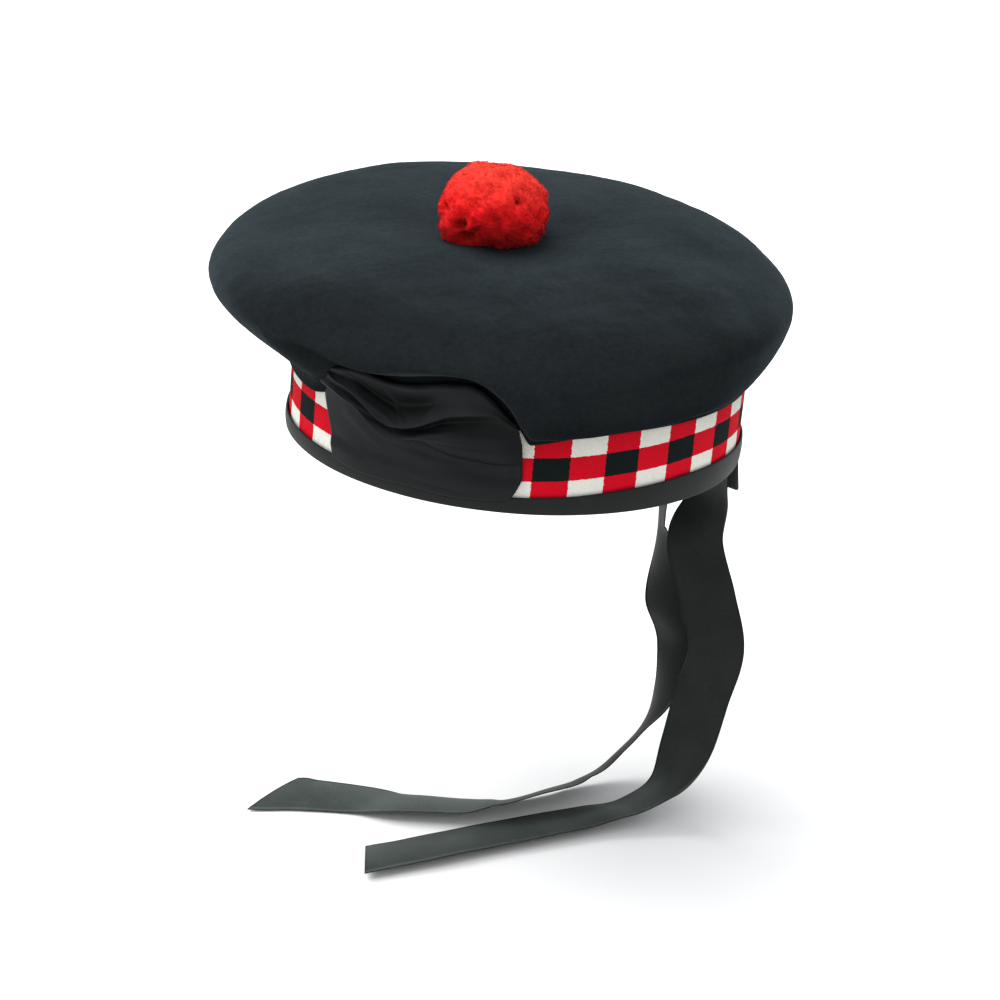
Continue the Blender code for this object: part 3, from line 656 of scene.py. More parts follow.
PANEL_WALL = 1.0 * MM
PANEL_SHADE = 0.72
PANEL_TOP = [0.80, 0.83, 0.80, 0.80, 0.82, 0.82, 0.80, 0.72]
PANEL_FOOT = [0.125, 0.10, 0.11, 0.11, 0.095, 0.10, 0.11, 0.14]
PANEL_STEP_RISE = 3.5 * MM
BOW_STEPS = 240
BOW_ROWS = 96
BOW_CRISP = 0.55
BOW_SEAT = 1.3 * MM
BOW_FOLDS = [
    # name, heights as shares of the cockade height, stand-offs as shares of the fold depth, at the stations
    (
        "back_edge",
        [0.878, 0.975, 0.975, 0.995, 1.070, 1.068, 0.962, 0.795],
        [0.10, 0.10, 0.14, 0.16, 0.14, 0.13, 0.12, 0.10],
    ),
    (
        "upper_edge",
        [0.880, 0.985, 0.980, 1.003, 1.080, 1.078, 0.970, 0.800],
        [0.24, 0.34, 0.48, 0.54, 0.46, 0.42, 0.34, 0.22],
    ),
    (
        "upper_crest",
        [0.870, 0.955, 0.945, 0.960, 1.045, 1.045, 0.935, 0.790],
        [0.27, 0.48, 0.60, 0.72, 0.66, 0.62, 0.52, 0.27],
    ),
    (
        "hollow",
        [0.865, 0.890, 0.790, 0.820, 0.925, 0.950, 0.900, 0.775],
        [0.27, 0.34, 0.12, 0.08, 0.58, 0.66, 0.58, 0.28],
    ),
    (
        "upper_ridge",
        [0.850, 0.800, 0.645, 0.665, 0.830, 0.862, 0.860, 0.760],
        [0.31, 0.86, 1.08, 1.06, 0.92, 0.84, 0.70, 0.31],
    ),
    (
        "upper_under",
        [0.835, 0.778, 0.622, 0.642, 0.800, 0.830, 0.838, 0.740],
        [0.24, 0.46, 0.62, 0.54, 0.44, 0.42, 0.44, 0.25],
    ),
    (
        "groove",
        [0.800, 0.745, 0.605, 0.618, 0.750, 0.775, 0.780, 0.700],
        [0.25, 0.24, 0.38, 0.30, 0.16, 0.18, 0.28, 0.28],
    ),
    (
        "lower_ridge",
        [0.755, 0.685, 0.520, 0.568, 0.580, 0.560, 0.540, 0.545],
        [0.30, 0.72, 1.00, 0.92, 0.66, 0.60, 0.56, 0.35],
    ),
    (
        "lower_under",
        [0.735, 0.662, 0.498, 0.535, 0.500, 0.480, 0.470, 0.490],
        [0.26, 0.42, 0.56, 0.52, 0.50, 0.48, 0.46, 0.28],
    ),
    (
        "lower_edge",
        [0.725, 0.655, 0.490, 0.515, 0.450, 0.438, 0.430, 0.450],
        [0.16, 0.18, 0.20, 0.20, 0.20, 0.20, 0.20, 0.18],
    ),
]
CREASES = [
    # share and height where each starts and ends, half width in mm, height in mm
    (0.46, 0.60, 0.04, 0.86, 0.6, 0.55),
    (0.50, 0.70, 0.16, 0.93, 0.9, -0.60),
    (0.48, 0.66, 0.34, 0.94, 0.6, 0.60),
    (0.47, 0.63, 0.22, 0.82, 0.6, 0.50),
    (0.56, 0.74, 0.66, 0.97, 0.9, 0.45),
    (0.54, 0.68, 0.86, 0.80, 0.8, -0.60),
    (0.56, 0.62, 0.95, 0.66, 0.9, 0.60),
    (0.52, 0.60, 0.80, 0.70, 0.6, 0.50),
    (0.55, 0.56, 0.92, 0.56, 0.8, -0.50),
    (0.44, 0.56, 0.10, 0.74, 0.6, -0.50),
]
PANEL_CREASES = [
    # the same columns
    (0.10, 0.60, 0.36, 0.32, 2.4, 0.50),
    (0.02, 0.34, 0.30, 0.22, 1.6, -0.35),
    (0.40, 0.42, 0.95, 0.20, 3.0, 0.45),
    (0.45, 0.20, 0.80, 0.155, 0.7, -0.45),
    (0.30, 0.46, 0.80, 0.40, 1.4, -0.40),
    (0.92, 0.60, 0.97, 0.20, 1.6, 0.35),
]
COCKADE_SPREAD = [
    # height, degrees by which the cockade's start and end are drawn along the band there
    (5 * MM, -0.8, -1.2),
    (8 * MM, -1.0, -0.3),
    (11 * MM, -1.4, 0.6),
    (15 * MM, -1.9, 1.7),
    (22 * MM, -3.0, 1.4),
    (29 * MM, -3.9, 0.9),
    (35 * MM, -3.9, -0.2),
    (40 * MM, -3.5, -1.6),
    (47 * MM, -3.5, -3.0),
]
SPREAD_REACH = 0.08


def on_band(share, height, offset):
    """Points over the cockade's stretch of the band, at a share of its length, a height and an offset."""
    start = COCKADE_START + COCKADE_SLANT * (1 - height / COCKADE_HEIGHT)
    turn = start + (COCKADE_END - start) * share
    heights, starts, ends = np.array(COCKADE_SPREAD).T
    turn = turn + np.radians(np.interp(height, heights, starts)) * np.exp(-share / SPREAD_REACH)
    turn = turn + np.radians(np.interp(height, heights, ends)) * np.exp((share - 1) / SPREAD_REACH)
    direction = np.sin(turn)[..., None] * ALONG + np.cos(turn)[..., None] * OUTWARD
    radii = BAND_RADIUS * np.array([1 - BAND_OVAL, 1 + BAND_OVAL])
    radius = 1 / np.linalg.norm(direction[..., :2] / radii, axis=-1)
    points = (radius + offset)[..., None] * direction
    points[..., 2] = height
    return points


def crease_relief(creases, share, height):
    """Height of narrow creases over the unrolled cockade, each a soft ridge along a line that fades at its ends."""
    length = BAND_RADIUS * (COCKADE_END - COCKADE_START)
    place = np.stack([share * length, height], axis=-1)
    relief = np.zeros(share.shape)
    for start_share, start_height, end_share, end_height, width, tall in creases:
        start = np.array([start_share * length, start_height * COCKADE_HEIGHT])
        line = np.array([end_share * length, end_height * COCKADE_HEIGHT]) - start
        t = ((place - start) @ line) / (line @ line)
        aside = np.linalg.norm(place - start - np.clip(t, 0, 1)[..., None] * line, axis=-1)
        taper = np.sin(math.pi * np.clip(t, 0, 1)) ** 0.6
        relief += tall * MM * np.exp(-((aside / (width * MM)) ** 2)) * taper
    return relief


def ribbon_uv(share, height):
    """UV of the cockade's ribbons in millimetres, along and across."""
    length = BAND_RADIUS * (COCKADE_END - COCKADE_START) / MM
    return np.stack(np.broadcast_arrays(share * length, height / MM), axis=-1)


def panel_offset(height):
    """Stand-off of the panel's back, which steps out over the tape."""
    over_tape = CLOTH_GAP + TAPE_WALL + 2 * CLOTH_GAP
    low = TAPE_HEIGHT + 0.6 * PANEL_STEP_RISE
    return over_tape + (CLOTH_GAP - over_tape) * smooth_step(height, low, low + 1.6 * PANEL_STEP_RISE)


def build_cockade_panel(material):
    """Flat ribbon that backs the bow and shows below it, with slow buckles and soft creases, thinned at its edges."""
    share = np.linspace(0, 1, 160)[:, None]
    down = np.linspace(0, 1, 72)[None, :]
    top = COCKADE_HEIGHT * at_stations(PANEL_TOP, share)
    foot = COCKADE_HEIGHT * at_stations(PANEL_FOOT, share)
    height = top + (foot - top) * down
    along = share + 0 * down
    base = panel_offset(height)
    edge = smooth_step(np.minimum(down, 1 - down), 0, 0.03) * smooth_step(np.minimum(share, 1 - share), 0, 0.012)
    shape = on_band(along, height, base)
    relief = crease_relief(PANEL_CREASES, along, height) + 0.16 * MM * ripple(shape, 22 * MM, 31)
    relief = np.maximum(relief, -0.3 * MM) + 0.3 * MM
    front = on_band(along, height, base + PANEL_WALL * (0.45 + 0.55 * edge) + relief * edge)
    # Painted shade: the panel is given a fixed low share of the silk's tone, lower still at its edges.
    shade = {"raised": PANEL_SHADE * (0.6 + 0.4 * edge)}
    piece = slab("cockade_ribbon", front, shape, material, ribbon_uv(along, height), shade)
    return dress(piece, "cockade_panel")


def bow_surface(share):
    """Height and stand-off of the bow's folds: a spline across the fold rows, part straightened so that the crests
    stay crisp."""
    heights = np.array([at_stations(row[1], share) for row in BOW_FOLDS])
    standoffs = np.array([at_stations(row[2], share) for row in BOW_FOLDS])
    place = np.linspace(0, len(BOW_FOLDS) - 1, BOW_ROWS)
    low = np.minimum(place.astype(int), len(BOW_FOLDS) - 2)
    t = (place - low)[:, None]
    rows = []
    for values in (heights, standoffs):
        straight = values[low] * (1 - t) + values[low + 1] * t
        rows.append(BOW_CRISP * straight + (1 - BOW_CRISP) * through(values, BOW_ROWS))
    return COCKADE_HEIGHT * rows[0].T, FOLD_DEPTH * rows[1].T


def build_cockade_bow(material):
    """Ribbon gathered at its middle into crisp folds, seated on the panel and tucked under the crown."""
    share = np.linspace(0, 1, BOW_STEPS)
    height, standoff = bow_surface(share)
    along = share[:, None] + 0 * height
    seat = CLOTH_GAP + BOW_SEAT
    shape = on_band(along, height, seat + standoff)
    fade = smooth_step(np.linspace(0, 1, BOW_ROWS), 0.0, 0.10) * smooth_step(np.linspace(1, 0, BOW_ROWS), 0.0, 0.06)
    relief = crease_relief(CREASES, along, height) + 0.10 * MM * ripple(shape, 14 * MM, 33)
    raised = np.maximum(standoff + relief * fade, 0.6 * MM)
    front = on_band(along, height, seat + raised)
    back = on_band(along, height, np.full_like(height, seat - 0.05 * MM))
    # Painted shade and light: the stand-off share darkens the silk in the hollows and lightens it on the crests.
    shade = {"raised": np.clip(raised / FOLD_DEPTH, 0, 1)}
    piece = slab("cockade_folds", front, back, material, ribbon_uv(along, height), shade)
    return dress(piece, "cockade_bow")


TOORIE_RADIUS = 22.3 * MM
TOORIE_RISE = 17.7 * MM
TOORIE_CENTRE = BUTTON - 2.6 * MM * ALONG + (CROWN_HEIGHT + 11.9 * MM) * UPWARD
TOORIE_FULLNESS = 2.4
CORE_ROWS = 120
CORE_COLUMNS = 180
CORE_SHARE = 0.972
WOOL_LUMPS = [
    # share of the reach, length of the waves on the unit ball, seed, number of waves
    (0.024, 0.45, 41, 30),
    (0.012, 0.22, 42, 40),
]
# The fuzz: shares of the reach at the root and the tip, then how far aside a fibre runs and its half thickness in mm.
FIBRES = 9500
FIBRE_ROOT = 0.94
FIBRE_REACH = (0.978, 1.002)
FIBRE_SLANT = (0.8, 3.0)
FIBRE_THICKNESS = (0.08, 0.15)
FIBRE_TAPER = (1.0, 0.95, 0.7)
FIBRE_SIDES = 3
FIBRE_RINGS = len(FIBRE_TAPER)
PITS = [
    # along, outward, upward of each hole in the wool, half width in degrees, share of the reach lost
    (-0.56, 0.79, -0.23, 6.0, 0.34),
    (-0.44, 0.76, -0.46, 6.5, 0.44),
    (-0.30, 0.88, -0.30, 4.0, 0.14),
    (-0.93, 0.37, 0.06, 5.0, 0.20),
    (0.46, 0.76, 0.43, 5.0, 0.12),
    (0.05, 0.98, 0.02, 6.0, 0.07),
]
LOBES = [
    # the same for broad swells, whose lost share is negative, and flats
    (-0.66, 0.62, -0.52, 24.0, -0.24),
    (0.16, 0.80, -0.60, 28.0, 0.11),
    (0.80, 0.30, -0.50, 22.0, -0.05),
]


def crown_top(x, y):
    """Height of the dome above a point near the button."""
    offset = np.stack([x, y], axis=-1) - BUTTON[:2]
    share = ((np.arctan2(offset[..., 1], offset[..., 0]) - LEAN_TURN) / TAU) % 1
    columns = np.array(CROWN_SECTIONS).T
    reach = BAND_RADIUS * around(columns[0], share)
    lip = CROWN_HEIGHT * around(columns[1], share)
    radial = np.clip(np.linalg.norm(offset, axis=-1) / reach, 0, 1)
    base = CROWN_HEIGHT - DOME_RISE
    rise = DOME_RISE * (1 - radial**DOME_FULLNESS) ** (1 / DOME_ROUNDING)
    return base + radial * (lip - base) + rise - dent_depth(share, radial)


def around_heading(direction, row):
    """1 at a row's heading, falling off as a bell of the row's half width."""
    heading = row[0] * ALONG + row[1] * OUTWARD + row[2] * UPWARD
    angle = np.degrees(np.arccos(np.clip(direction @ heading / np.linalg.norm(heading), -1, 1)))
    return np.exp(-((angle / row[3]) ** 2))


def hollow_share(direction):
    """How deep in a pit of the wool a direction lies, from 0 to 1."""
    return np.max([min(1.0, 5 * row[4]) * around_heading(direction, row) for row in PITS], axis=0)


def ball_reach(direction):
    """Offsets from the toorie's centre to its surface: a ball made fuller, more so below, with lobes and pits."""
    flat = np.linalg.norm(direction[..., :2], axis=-1)
    up = direction[..., 2]
    full = (flat**TOORIE_FULLNESS + np.abs(up) ** TOORIE_FULLNESS) ** (-1 / TOORIE_FULLNESS)
    reach = np.where(up < 0, full, 1 + 0.55 * (full - 1))
    lumps = 1 + sum(tall * ripple(direction, *waves) for tall, *waves in WOOL_LUMPS)
    for row in PITS + LOBES:
        lumps = lumps - row[4] * around_heading(direction, row)
    return direction * (reach * lumps)[..., None] * np.array([TOORIE_RADIUS, TOORIE_RADIUS, TOORIE_RISE])


def seat_on_crown(points, clearance):
    """The points, raised where they would sink into the crown."""
    points = points.copy()
    points[..., 2] = np.maximum(points[..., 2], crown_top(points[..., 0], points[..., 1]) + clearance)
    return points


def spread_directions(count, random):
    """Directions spread evenly over a ball by the golden angle, each nudged a little."""
    index = np.arange(count) + 0.5
    height = 1 - 2 * index / count
    turn = math.pi * (1 + math.sqrt(5)) * index
    flat = np.sqrt(1 - height**2)
    direction = np.stack([flat * np.cos(turn), flat * np.sin(turn), height], axis=1)
    direction += random.normal(scale=0.6 / math.sqrt(count), size=direction.shape)
    return direction / np.linalg.norm(direction, axis=1, keepdims=True)


def wool_core():
    """Points, faces and pit shares of the trimmed wool ball: its lumps, and over them tufts and cut yarn."""
    polar = np.linspace(0, math.pi, CORE_ROWS + 2)[1:-1, None]
    turn = TAU * np.arange(CORE_COLUMNS)[None, :] / CORE_COLUMNS
    sides = np.sin(polar) * np.cos(turn), np.sin(polar) * np.sin(turn), np.cos(polar)
    direction = np.stack(np.broadcast_arrays(*sides), -1)
    tufts = 0.010 * np.abs(ripple(direction, 0.16, 45, 50)) + 0.004 * ripple(direction, 0.06, 46, 60)
    core = (CORE_SHARE + tufts)[..., None] * ball_reach(direction)
    poles = np.array([[0, 0, core[0, 0, 2]], [0, 0, core[-1, 0, 2]]])
    points = seat_on_crown(TOORIE_CENTRE + np.concatenate([core.reshape(-1, 3), poles]), 0.3 * MM)
    hollow = np.append(hollow_share(direction).ravel(), [0.0, 0.0])
    return points, outward(points, capped_quads(CORE_ROWS, CORE_COLUMNS)), hollow


def wool_fibres(random):
    """Points, faces, shades and pit shares of the fuzz.

    Each fibre is a thin tube on a path that climbs from its root as a quarter sine while it runs evenly aside.
    """
    direction = spread_directions(FIBRES, random)
    aside = np.cross(direction, random.normal(size=direction.shape))
    aside /= np.linalg.norm(aside, axis=1, keepdims=True)
    t = np.linspace(0, 1, FIBRE_RINGS)
    reach = random.uniform(*FIBRE_REACH, FIBRES)
    rise = FIBRE_ROOT + (reach[:, None] - FIBRE_ROOT) * np.sin(t * math.pi / 2)
    path = ball_reach(direction)[:, None] * rise[..., None]
    path = path + aside[:, None] * (random.uniform(*FIBRE_SLANT, FIBRES)[:, None] * MM * t)[..., None]
    tangent = np.gradient(path, axis=1)
    tangent /= np.linalg.norm(tangent, axis=-1, keepdims=True)
    first = np.cross(tangent, direction[:, None] + 0.3 * aside[:, None])
    first /= np.linalg.norm(first, axis=-1, keepdims=True)
    second = np.cross(tangent, first)
    thick = random.uniform(*FIBRE_THICKNESS, FIBRES) * MM
    girth = thick[:, None] * np.array(FIBRE_TAPER)
    turn = TAU * np.arange(FIBRE_SIDES) / FIBRE_SIDES
    ring = np.cos(turn)[:, None] * first[:, :, None] + np.sin(turn)[:, None] * second[:, :, None]
    tubes = path[:, :, None] + girth[:, :, None, None] * ring
    tips = path[:, -1] + thick[:, None] * tangent[:, -1]
    walls = grid_quads(FIBRE_RINGS, FIBRE_SIDES, close_columns=True)[0]
    side = np.arange(FIBRE_SIDES)
    last = (FIBRE_RINGS - 1) * FIBRE_SIDES
    tip = np.full(FIBRE_SIDES, FIBRE_RINGS * FIBRE_SIDES)
    cap = np.stack([last + side, last + (side + 1) % FIBRE_SIDES, tip, tip], -1)
    each = FIBRE_RINGS * FIBRE_SIDES + 1
    fibre = np.concatenate([tubes.reshape(FIBRES, -1, 3), tips[:, None]], axis=1)
    pattern = outward(fibre[0], np.concatenate([walls, cap, [[0, 2, 1, 1]]]))
    faces = (pattern[None] + each * np.arange(FIBRES)[:, None, None]).reshape(-1, 4)
    points = seat_on_crown(TOORIE_CENTRE + fibre.reshape(-1, 3), 0.25 * MM)
    return points, faces, np.repeat(random.uniform(0, 1, FIBRES), each), np.repeat(hollow_share(direction), each)


def build_toorie(material):
    """Trimmed wool ball with a fuzz of fine fibres."""
    core_points, core_faces, core_hollow = wool_core()
    points, faces, shade, hollow = wool_fibres(np.random.default_rng(5))
    piece = add_mesh(
        "wool_toorie",
        np.concatenate([points, core_points]),
        np.concatenate([faces, core_faces + len(points)]),
        material,
        attributes={
            "shade": np.concatenate([shade, np.full(len(core_points), 0.5)]),
            "hollow": np.concatenate([hollow, core_hollow]),
        },
    )
    return dress(piece, "toorie")


TAIL_STEPS = 300
TAIL_ACROSS = 15
TAIL_WALL = 0.55 * MM
TAIL_CURL = 0.05
TAIL_FLUTTER = 0.25 * MM
FLUTTER_LENGTH = 34 * MM
CUT_LENGTH = 24 * MM
LEFT_TAIL = [
    # along and outward in band radii, height in tail drops, turn and lift of the width in degrees
    (0.9460, -0.4179, 0.0200, 64.0, 0.0),
    (0.9460, -0.4171, -0.1000, 63.0, 0.0),
    (0.9428, -0.4038, -0.2000, 55.0, 0.0),
    (0.8944, -0.3175, -0.3040, 14.0, 0.0),
    (0.9839, -0.2539, -0.4460, 2.0, 2.0),
    (1.0500, -0.2223, -0.5710, 0.0, 0.0),
    (1.0087, -0.2116, -0.7000, 10.0, -15.0),
    (0.9620, -0.2011, -0.8420, 31.0, -4.0),
    (0.8799, -0.1482, -0.9395, 56.0, 14.0),
    (0.7279, -0.0634, -0.9820, 69.0, 14.5),
    (0.5566, 0.0159, -0.9939, 63.0, 12.0),
    (0.3809, 0.1111, -0.9972, 59.0, 9.0),
    (0.1905, 0.2201, -0.9989, 58.0, 8.0),
    (-0.0212, 0.3428, -0.9989, 58.0, 8.0),
    (-0.2180, 0.4645, -0.9989, 58.0, 8.0),
    (-0.4906, 0.6195, -1.0011, 58.0, 7.0),
]
RIGHT_TAIL = [
    # the same columns
    (0.8032, -0.6496, 0.0200, 51.5, 0.0),
    (0.7980, -0.6533, -0.1000, 57.0, 0.0),
    (0.7590, -0.6818, -0.2100, 82.0, 0.0),
    (0.7480, -0.6933, -0.3050, 86.5, 0.0),
    (0.7600, -0.6773, -0.3700, 81.0, 0.0),
    (0.8033, -0.5053, -0.5280, 46.0, 0.0),
    (0.8856, -0.5158, -0.6550, 48.0, 4.0),
    (0.8378, -0.4868, -0.7800, 72.0, 18.0),
    (0.7721, -0.4443, -0.8580, 86.0, 27.0),
    (0.6702, -0.3702, -0.9160, 88.0, 27.0),
    (0.5790, -0.2857, -0.9490, 88.0, 27.0),
    (0.4756, -0.2011, -0.9640, 88.0, 27.0),
    (0.3811, -0.1164, -0.9690, 88.0, 27.5),
    (0.1478, 0.0318, -0.9765, 88.0, 28.0),
    (0.0487, 0.0497, -0.9822, 88.0, 22.0),
    (-0.0614, 0.0614, -0.9917, 88.0, 14.5),
    (-0.2285, 0.0698, -0.9944, 87.0, 12.0),
    (-0.3957, 0.0741, -0.9972, 87.0, 9.5),
    (-0.5756, 0.0402, -1.0067, 87.0, 0.0),
    (-0.8147, 0.0529, -1.0033, 87.0, -4.5),
    (-0.9734, 0.0794, -1.0022, 87.0, -5.5),
]


def tail_frame(table):
    """Centres, tangents and width directions of a tail at even steps of its length, and that length."""
    rows = through(table, 40 * len(table))
    beside = rows[:, :1] * ALONG + rows[:, 1:2] * OUTWARD
    centres = BAND_RADIUS * beside + TAIL_DROP * rows[:, 2:3] * UPWARD
    passed = np.concatenate([[0.0], np.cumsum(np.linalg.norm(np.diff(centres, axis=0), axis=1))])
    even = np.linspace(0, passed[-1], TAIL_STEPS)
    centres = np.stack([np.interp(even, passed, column) for column in centres.T], axis=1)
    turn = np.radians(np.interp(even, passed, rows[:, 3]))[:, None]
    lift = np.radians(np.interp(even, passed, rows[:, 4]))[:, None]
    widths = np.cos(lift) * (np.cos(turn) * ALONG + np.sin(turn) * OUTWARD) + np.sin(lift) * UPWARD
    tangents = np.gradient(centres, axis=0)
    tangents /= np.linalg.norm(tangents, axis=1, keepdims=True)
    widths -= (widths * tangents).sum(1, keepdims=True) * tangents
    widths /= np.linalg.norm(widths, axis=1, keepdims=True)
    return centres, tangents, widths, even


def build_tail(name, node, table, slant, seed, material):
    """Ribbed ribbon swept along its table: curled a little across, with slow flutter and a slanted cut end."""
    centres, tangents, widths, even = tail_frame(table)
    normals = np.cross(tangents, widths)
    across = np.linspace(-0.5, 0.5, TAIL_ACROSS)[None, :, None]
    freed = smooth_step(even / even[-1], 0.02, 0.28)[:, None, None]
    curl = TAIL_CURL * RIBBON_WIDTH * freed * (1 - 4 * across**2)
    grid = centres[:, None] + across * RIBBON_WIDTH * widths[:, None] + curl * normals[:, None]
    hanging = 1 - smooth_step(even / even[-1], 0.6, 0.75)
    flutter = TAIL_FLUTTER * ripple(grid, FLUTTER_LENGTH, seed) * (0.35 + 0.65 * hanging)[:, None]
    grid = grid + (flutter[..., None] * freed) * normals[:, None]
    ending = smooth_step(even, even[-1] - CUT_LENGTH, even[-1])[:, None, None]
    grid = grid + across * slant * ending * tangents[:, None]
    grid[..., 2] = np.maximum(grid[..., 2], FLOOR + TAIL_WALL)
    half = TAIL_WALL / 2 * normals[:, None]
    front, back = grid + half, grid - half
    uv = np.stack(np.broadcast_arrays(even[:, None] / MM, (across[..., 0] * RIBBON_WIDTH) / MM), axis=-1)
    piece = slab(name, front, back, material, uv)
    return dress(piece, node)


TAB_TOP = 7.5 * MM
TAB_FOOT = -28 * MM
TAB_WIDTH = 40 * MM
TAB_FLARE = 3.6 * MM
TAB_SLANT = 10 * MM
TAB_TURN = math.radians(93.5)
TAB_STANDOFF = 3.7 * MM
TAB_WALL = 2.2 * MM
TAB_PINCH = 0.5 * MM


def build_back_tab(material):
    """Ribbon folded over on itself at its foot, laid over the tails' roots and flaring out below the rim."""
    side = np.linspace(-0.5, 0.5, 64)[:, None]
    angle = np.linspace(0, math.pi, 16)
    half = TAB_WALL / 2
    down = np.linspace(0, 1, 40)
    face = [(t, half) for t in down]
    fold = [(1 + 0.03 * math.sin(a), half * math.cos(a)) for a in angle[1:-1]]
    behind = [(t, -half) for t in down[::-1]]
    profile = np.array(face + fold + behind)
    place = profile[None, :, 0] + 0 * side
    height = TAB_TOP + (TAB_FOOT - TAB_SLANT * (side + 0.5) - TAB_TOP) * place
    turn = TAB_TURN + side * TAB_WIDTH / BAND_RADIUS + 0 * place
    standoff = TAB_STANDOFF + half + TAB_FLARE * np.clip(place, 0, 1.1) ** 1.5
    pinch = TAB_PINCH * np.cos(side * TAU * 1.5) * place
    radius = oval_radius(turn, standoff + profile[None, :, 1] + pinch)
    loops = np.stack([radius * np.cos(turn), radius * np.sin(turn), height], axis=-1)
    middles = loops[[0, -1]].mean(axis=1)
    points = np.concatenate([loops.reshape(-1, 3), middles])
    along = np.cumsum(np.concatenate([[0.0], np.linalg.norm(np.diff(loops, axis=1), axis=-1).mean(axis=0)]))
    uv = np.stack(np.broadcast_arrays(along[None, :] / MM, side * TAB_WIDTH / MM), axis=-1)
    uv = np.concatenate([uv.reshape(-1, 2), [[0, 0], [0, 0]]])
    piece = add_mesh("folded_tab", points, capped_quads(*loops.shape[:2]), material, uv)
    return dress(piece, "back_tab")


def put(tree, kind, sockets=None, **settings):
    """A new node with its settings, its sockets' values or links."""
    node = tree.nodes.new("ShaderNode" + kind)
    for name, value in settings.items():
        setattr(node, name, value)
    for name, value in (sockets or {}).items():
        socket = node.inputs[name]
        if isinstance(value, bpy.types.NodeSocket):
            tree.links.new(value, socket)
        else:
            socket.default_value = value
    return node


def math_node(tree, operation, a, b=0.0, c=0.0):
    """Output of a maths node."""
    node = put(tree, "Math", {0: a, 1: b, 2: c}, operation=operation)
    return node.outputs[0]


def mix_colour(tree, factor, a, b, blend="MIX"):
    """Output of a colour mix."""
    node = tree.nodes.new("ShaderNodeMix")
    node.data_type = "RGBA"
    node.blend_type = blend
    for place, value in ((0, factor), (6, a), (7, b)):
        socket = node.inputs[place]
        if isinstance(value, bpy.types.NodeSocket):
            tree.links.new(value, socket)
        else:
            socket.default_value = value
    return node.outputs[2]


def scaled_colour(tree, colour, factor):
    """Output of a colour multiplied by a number."""
    grey = put(tree, "CombineColor", {0: factor, 1: factor, 2: factor})
    return mix_colour(tree, 1.0, colour, grey.outputs[0], "MULTIPLY")


def node_group(name, inputs, outputs):
    """A new shader group with its sockets, its input node and its output node."""
    group = bpy.data.node_groups.new(name, "ShaderNodeTree")
    for title, kind in inputs:
        group.interface.new_socket(title, in_out="INPUT", socket_type="NodeSocket" + kind)
    for title, kind in outputs:
        group.interface.new_socket(title, in_out="OUTPUT", socket_type="NodeSocket" + kind)
    return group, group.nodes.new("NodeGroupInput"), group.nodes.new("NodeGroupOutput")


def use_group(tree, group, sockets):
    """The group placed in a material."""
    node = tree.nodes.new("ShaderNodeGroup")
    node.node_tree = group
    for name, value in sockets.items():
        if isinstance(value, bpy.types.NodeSocket):
            tree.links.new(value, node.inputs[name])
        else:
            node.inputs[name].default_value = value
    return node


def new_material(name, **shader_sockets):
    """A material with one shader and its constant sockets set."""
    material = bpy.data.materials.new(name)
    material.use_nodes = True
    shader = material.node_tree.nodes["Principled BSDF"]
    for title, value in shader_sockets.items():
        shader.inputs[title.replace("_", " ")].default_value = value
    return material, material.node_tree, shader


def bump(tree, shader, height, strength, distance):
    """Bump from a height to the shader's normal."""
    node = put(tree, "Bump", {"Height": height, "Strength": strength, "Distance": distance})
    tree.links.new(node.outputs[0], shader.inputs["Normal"])


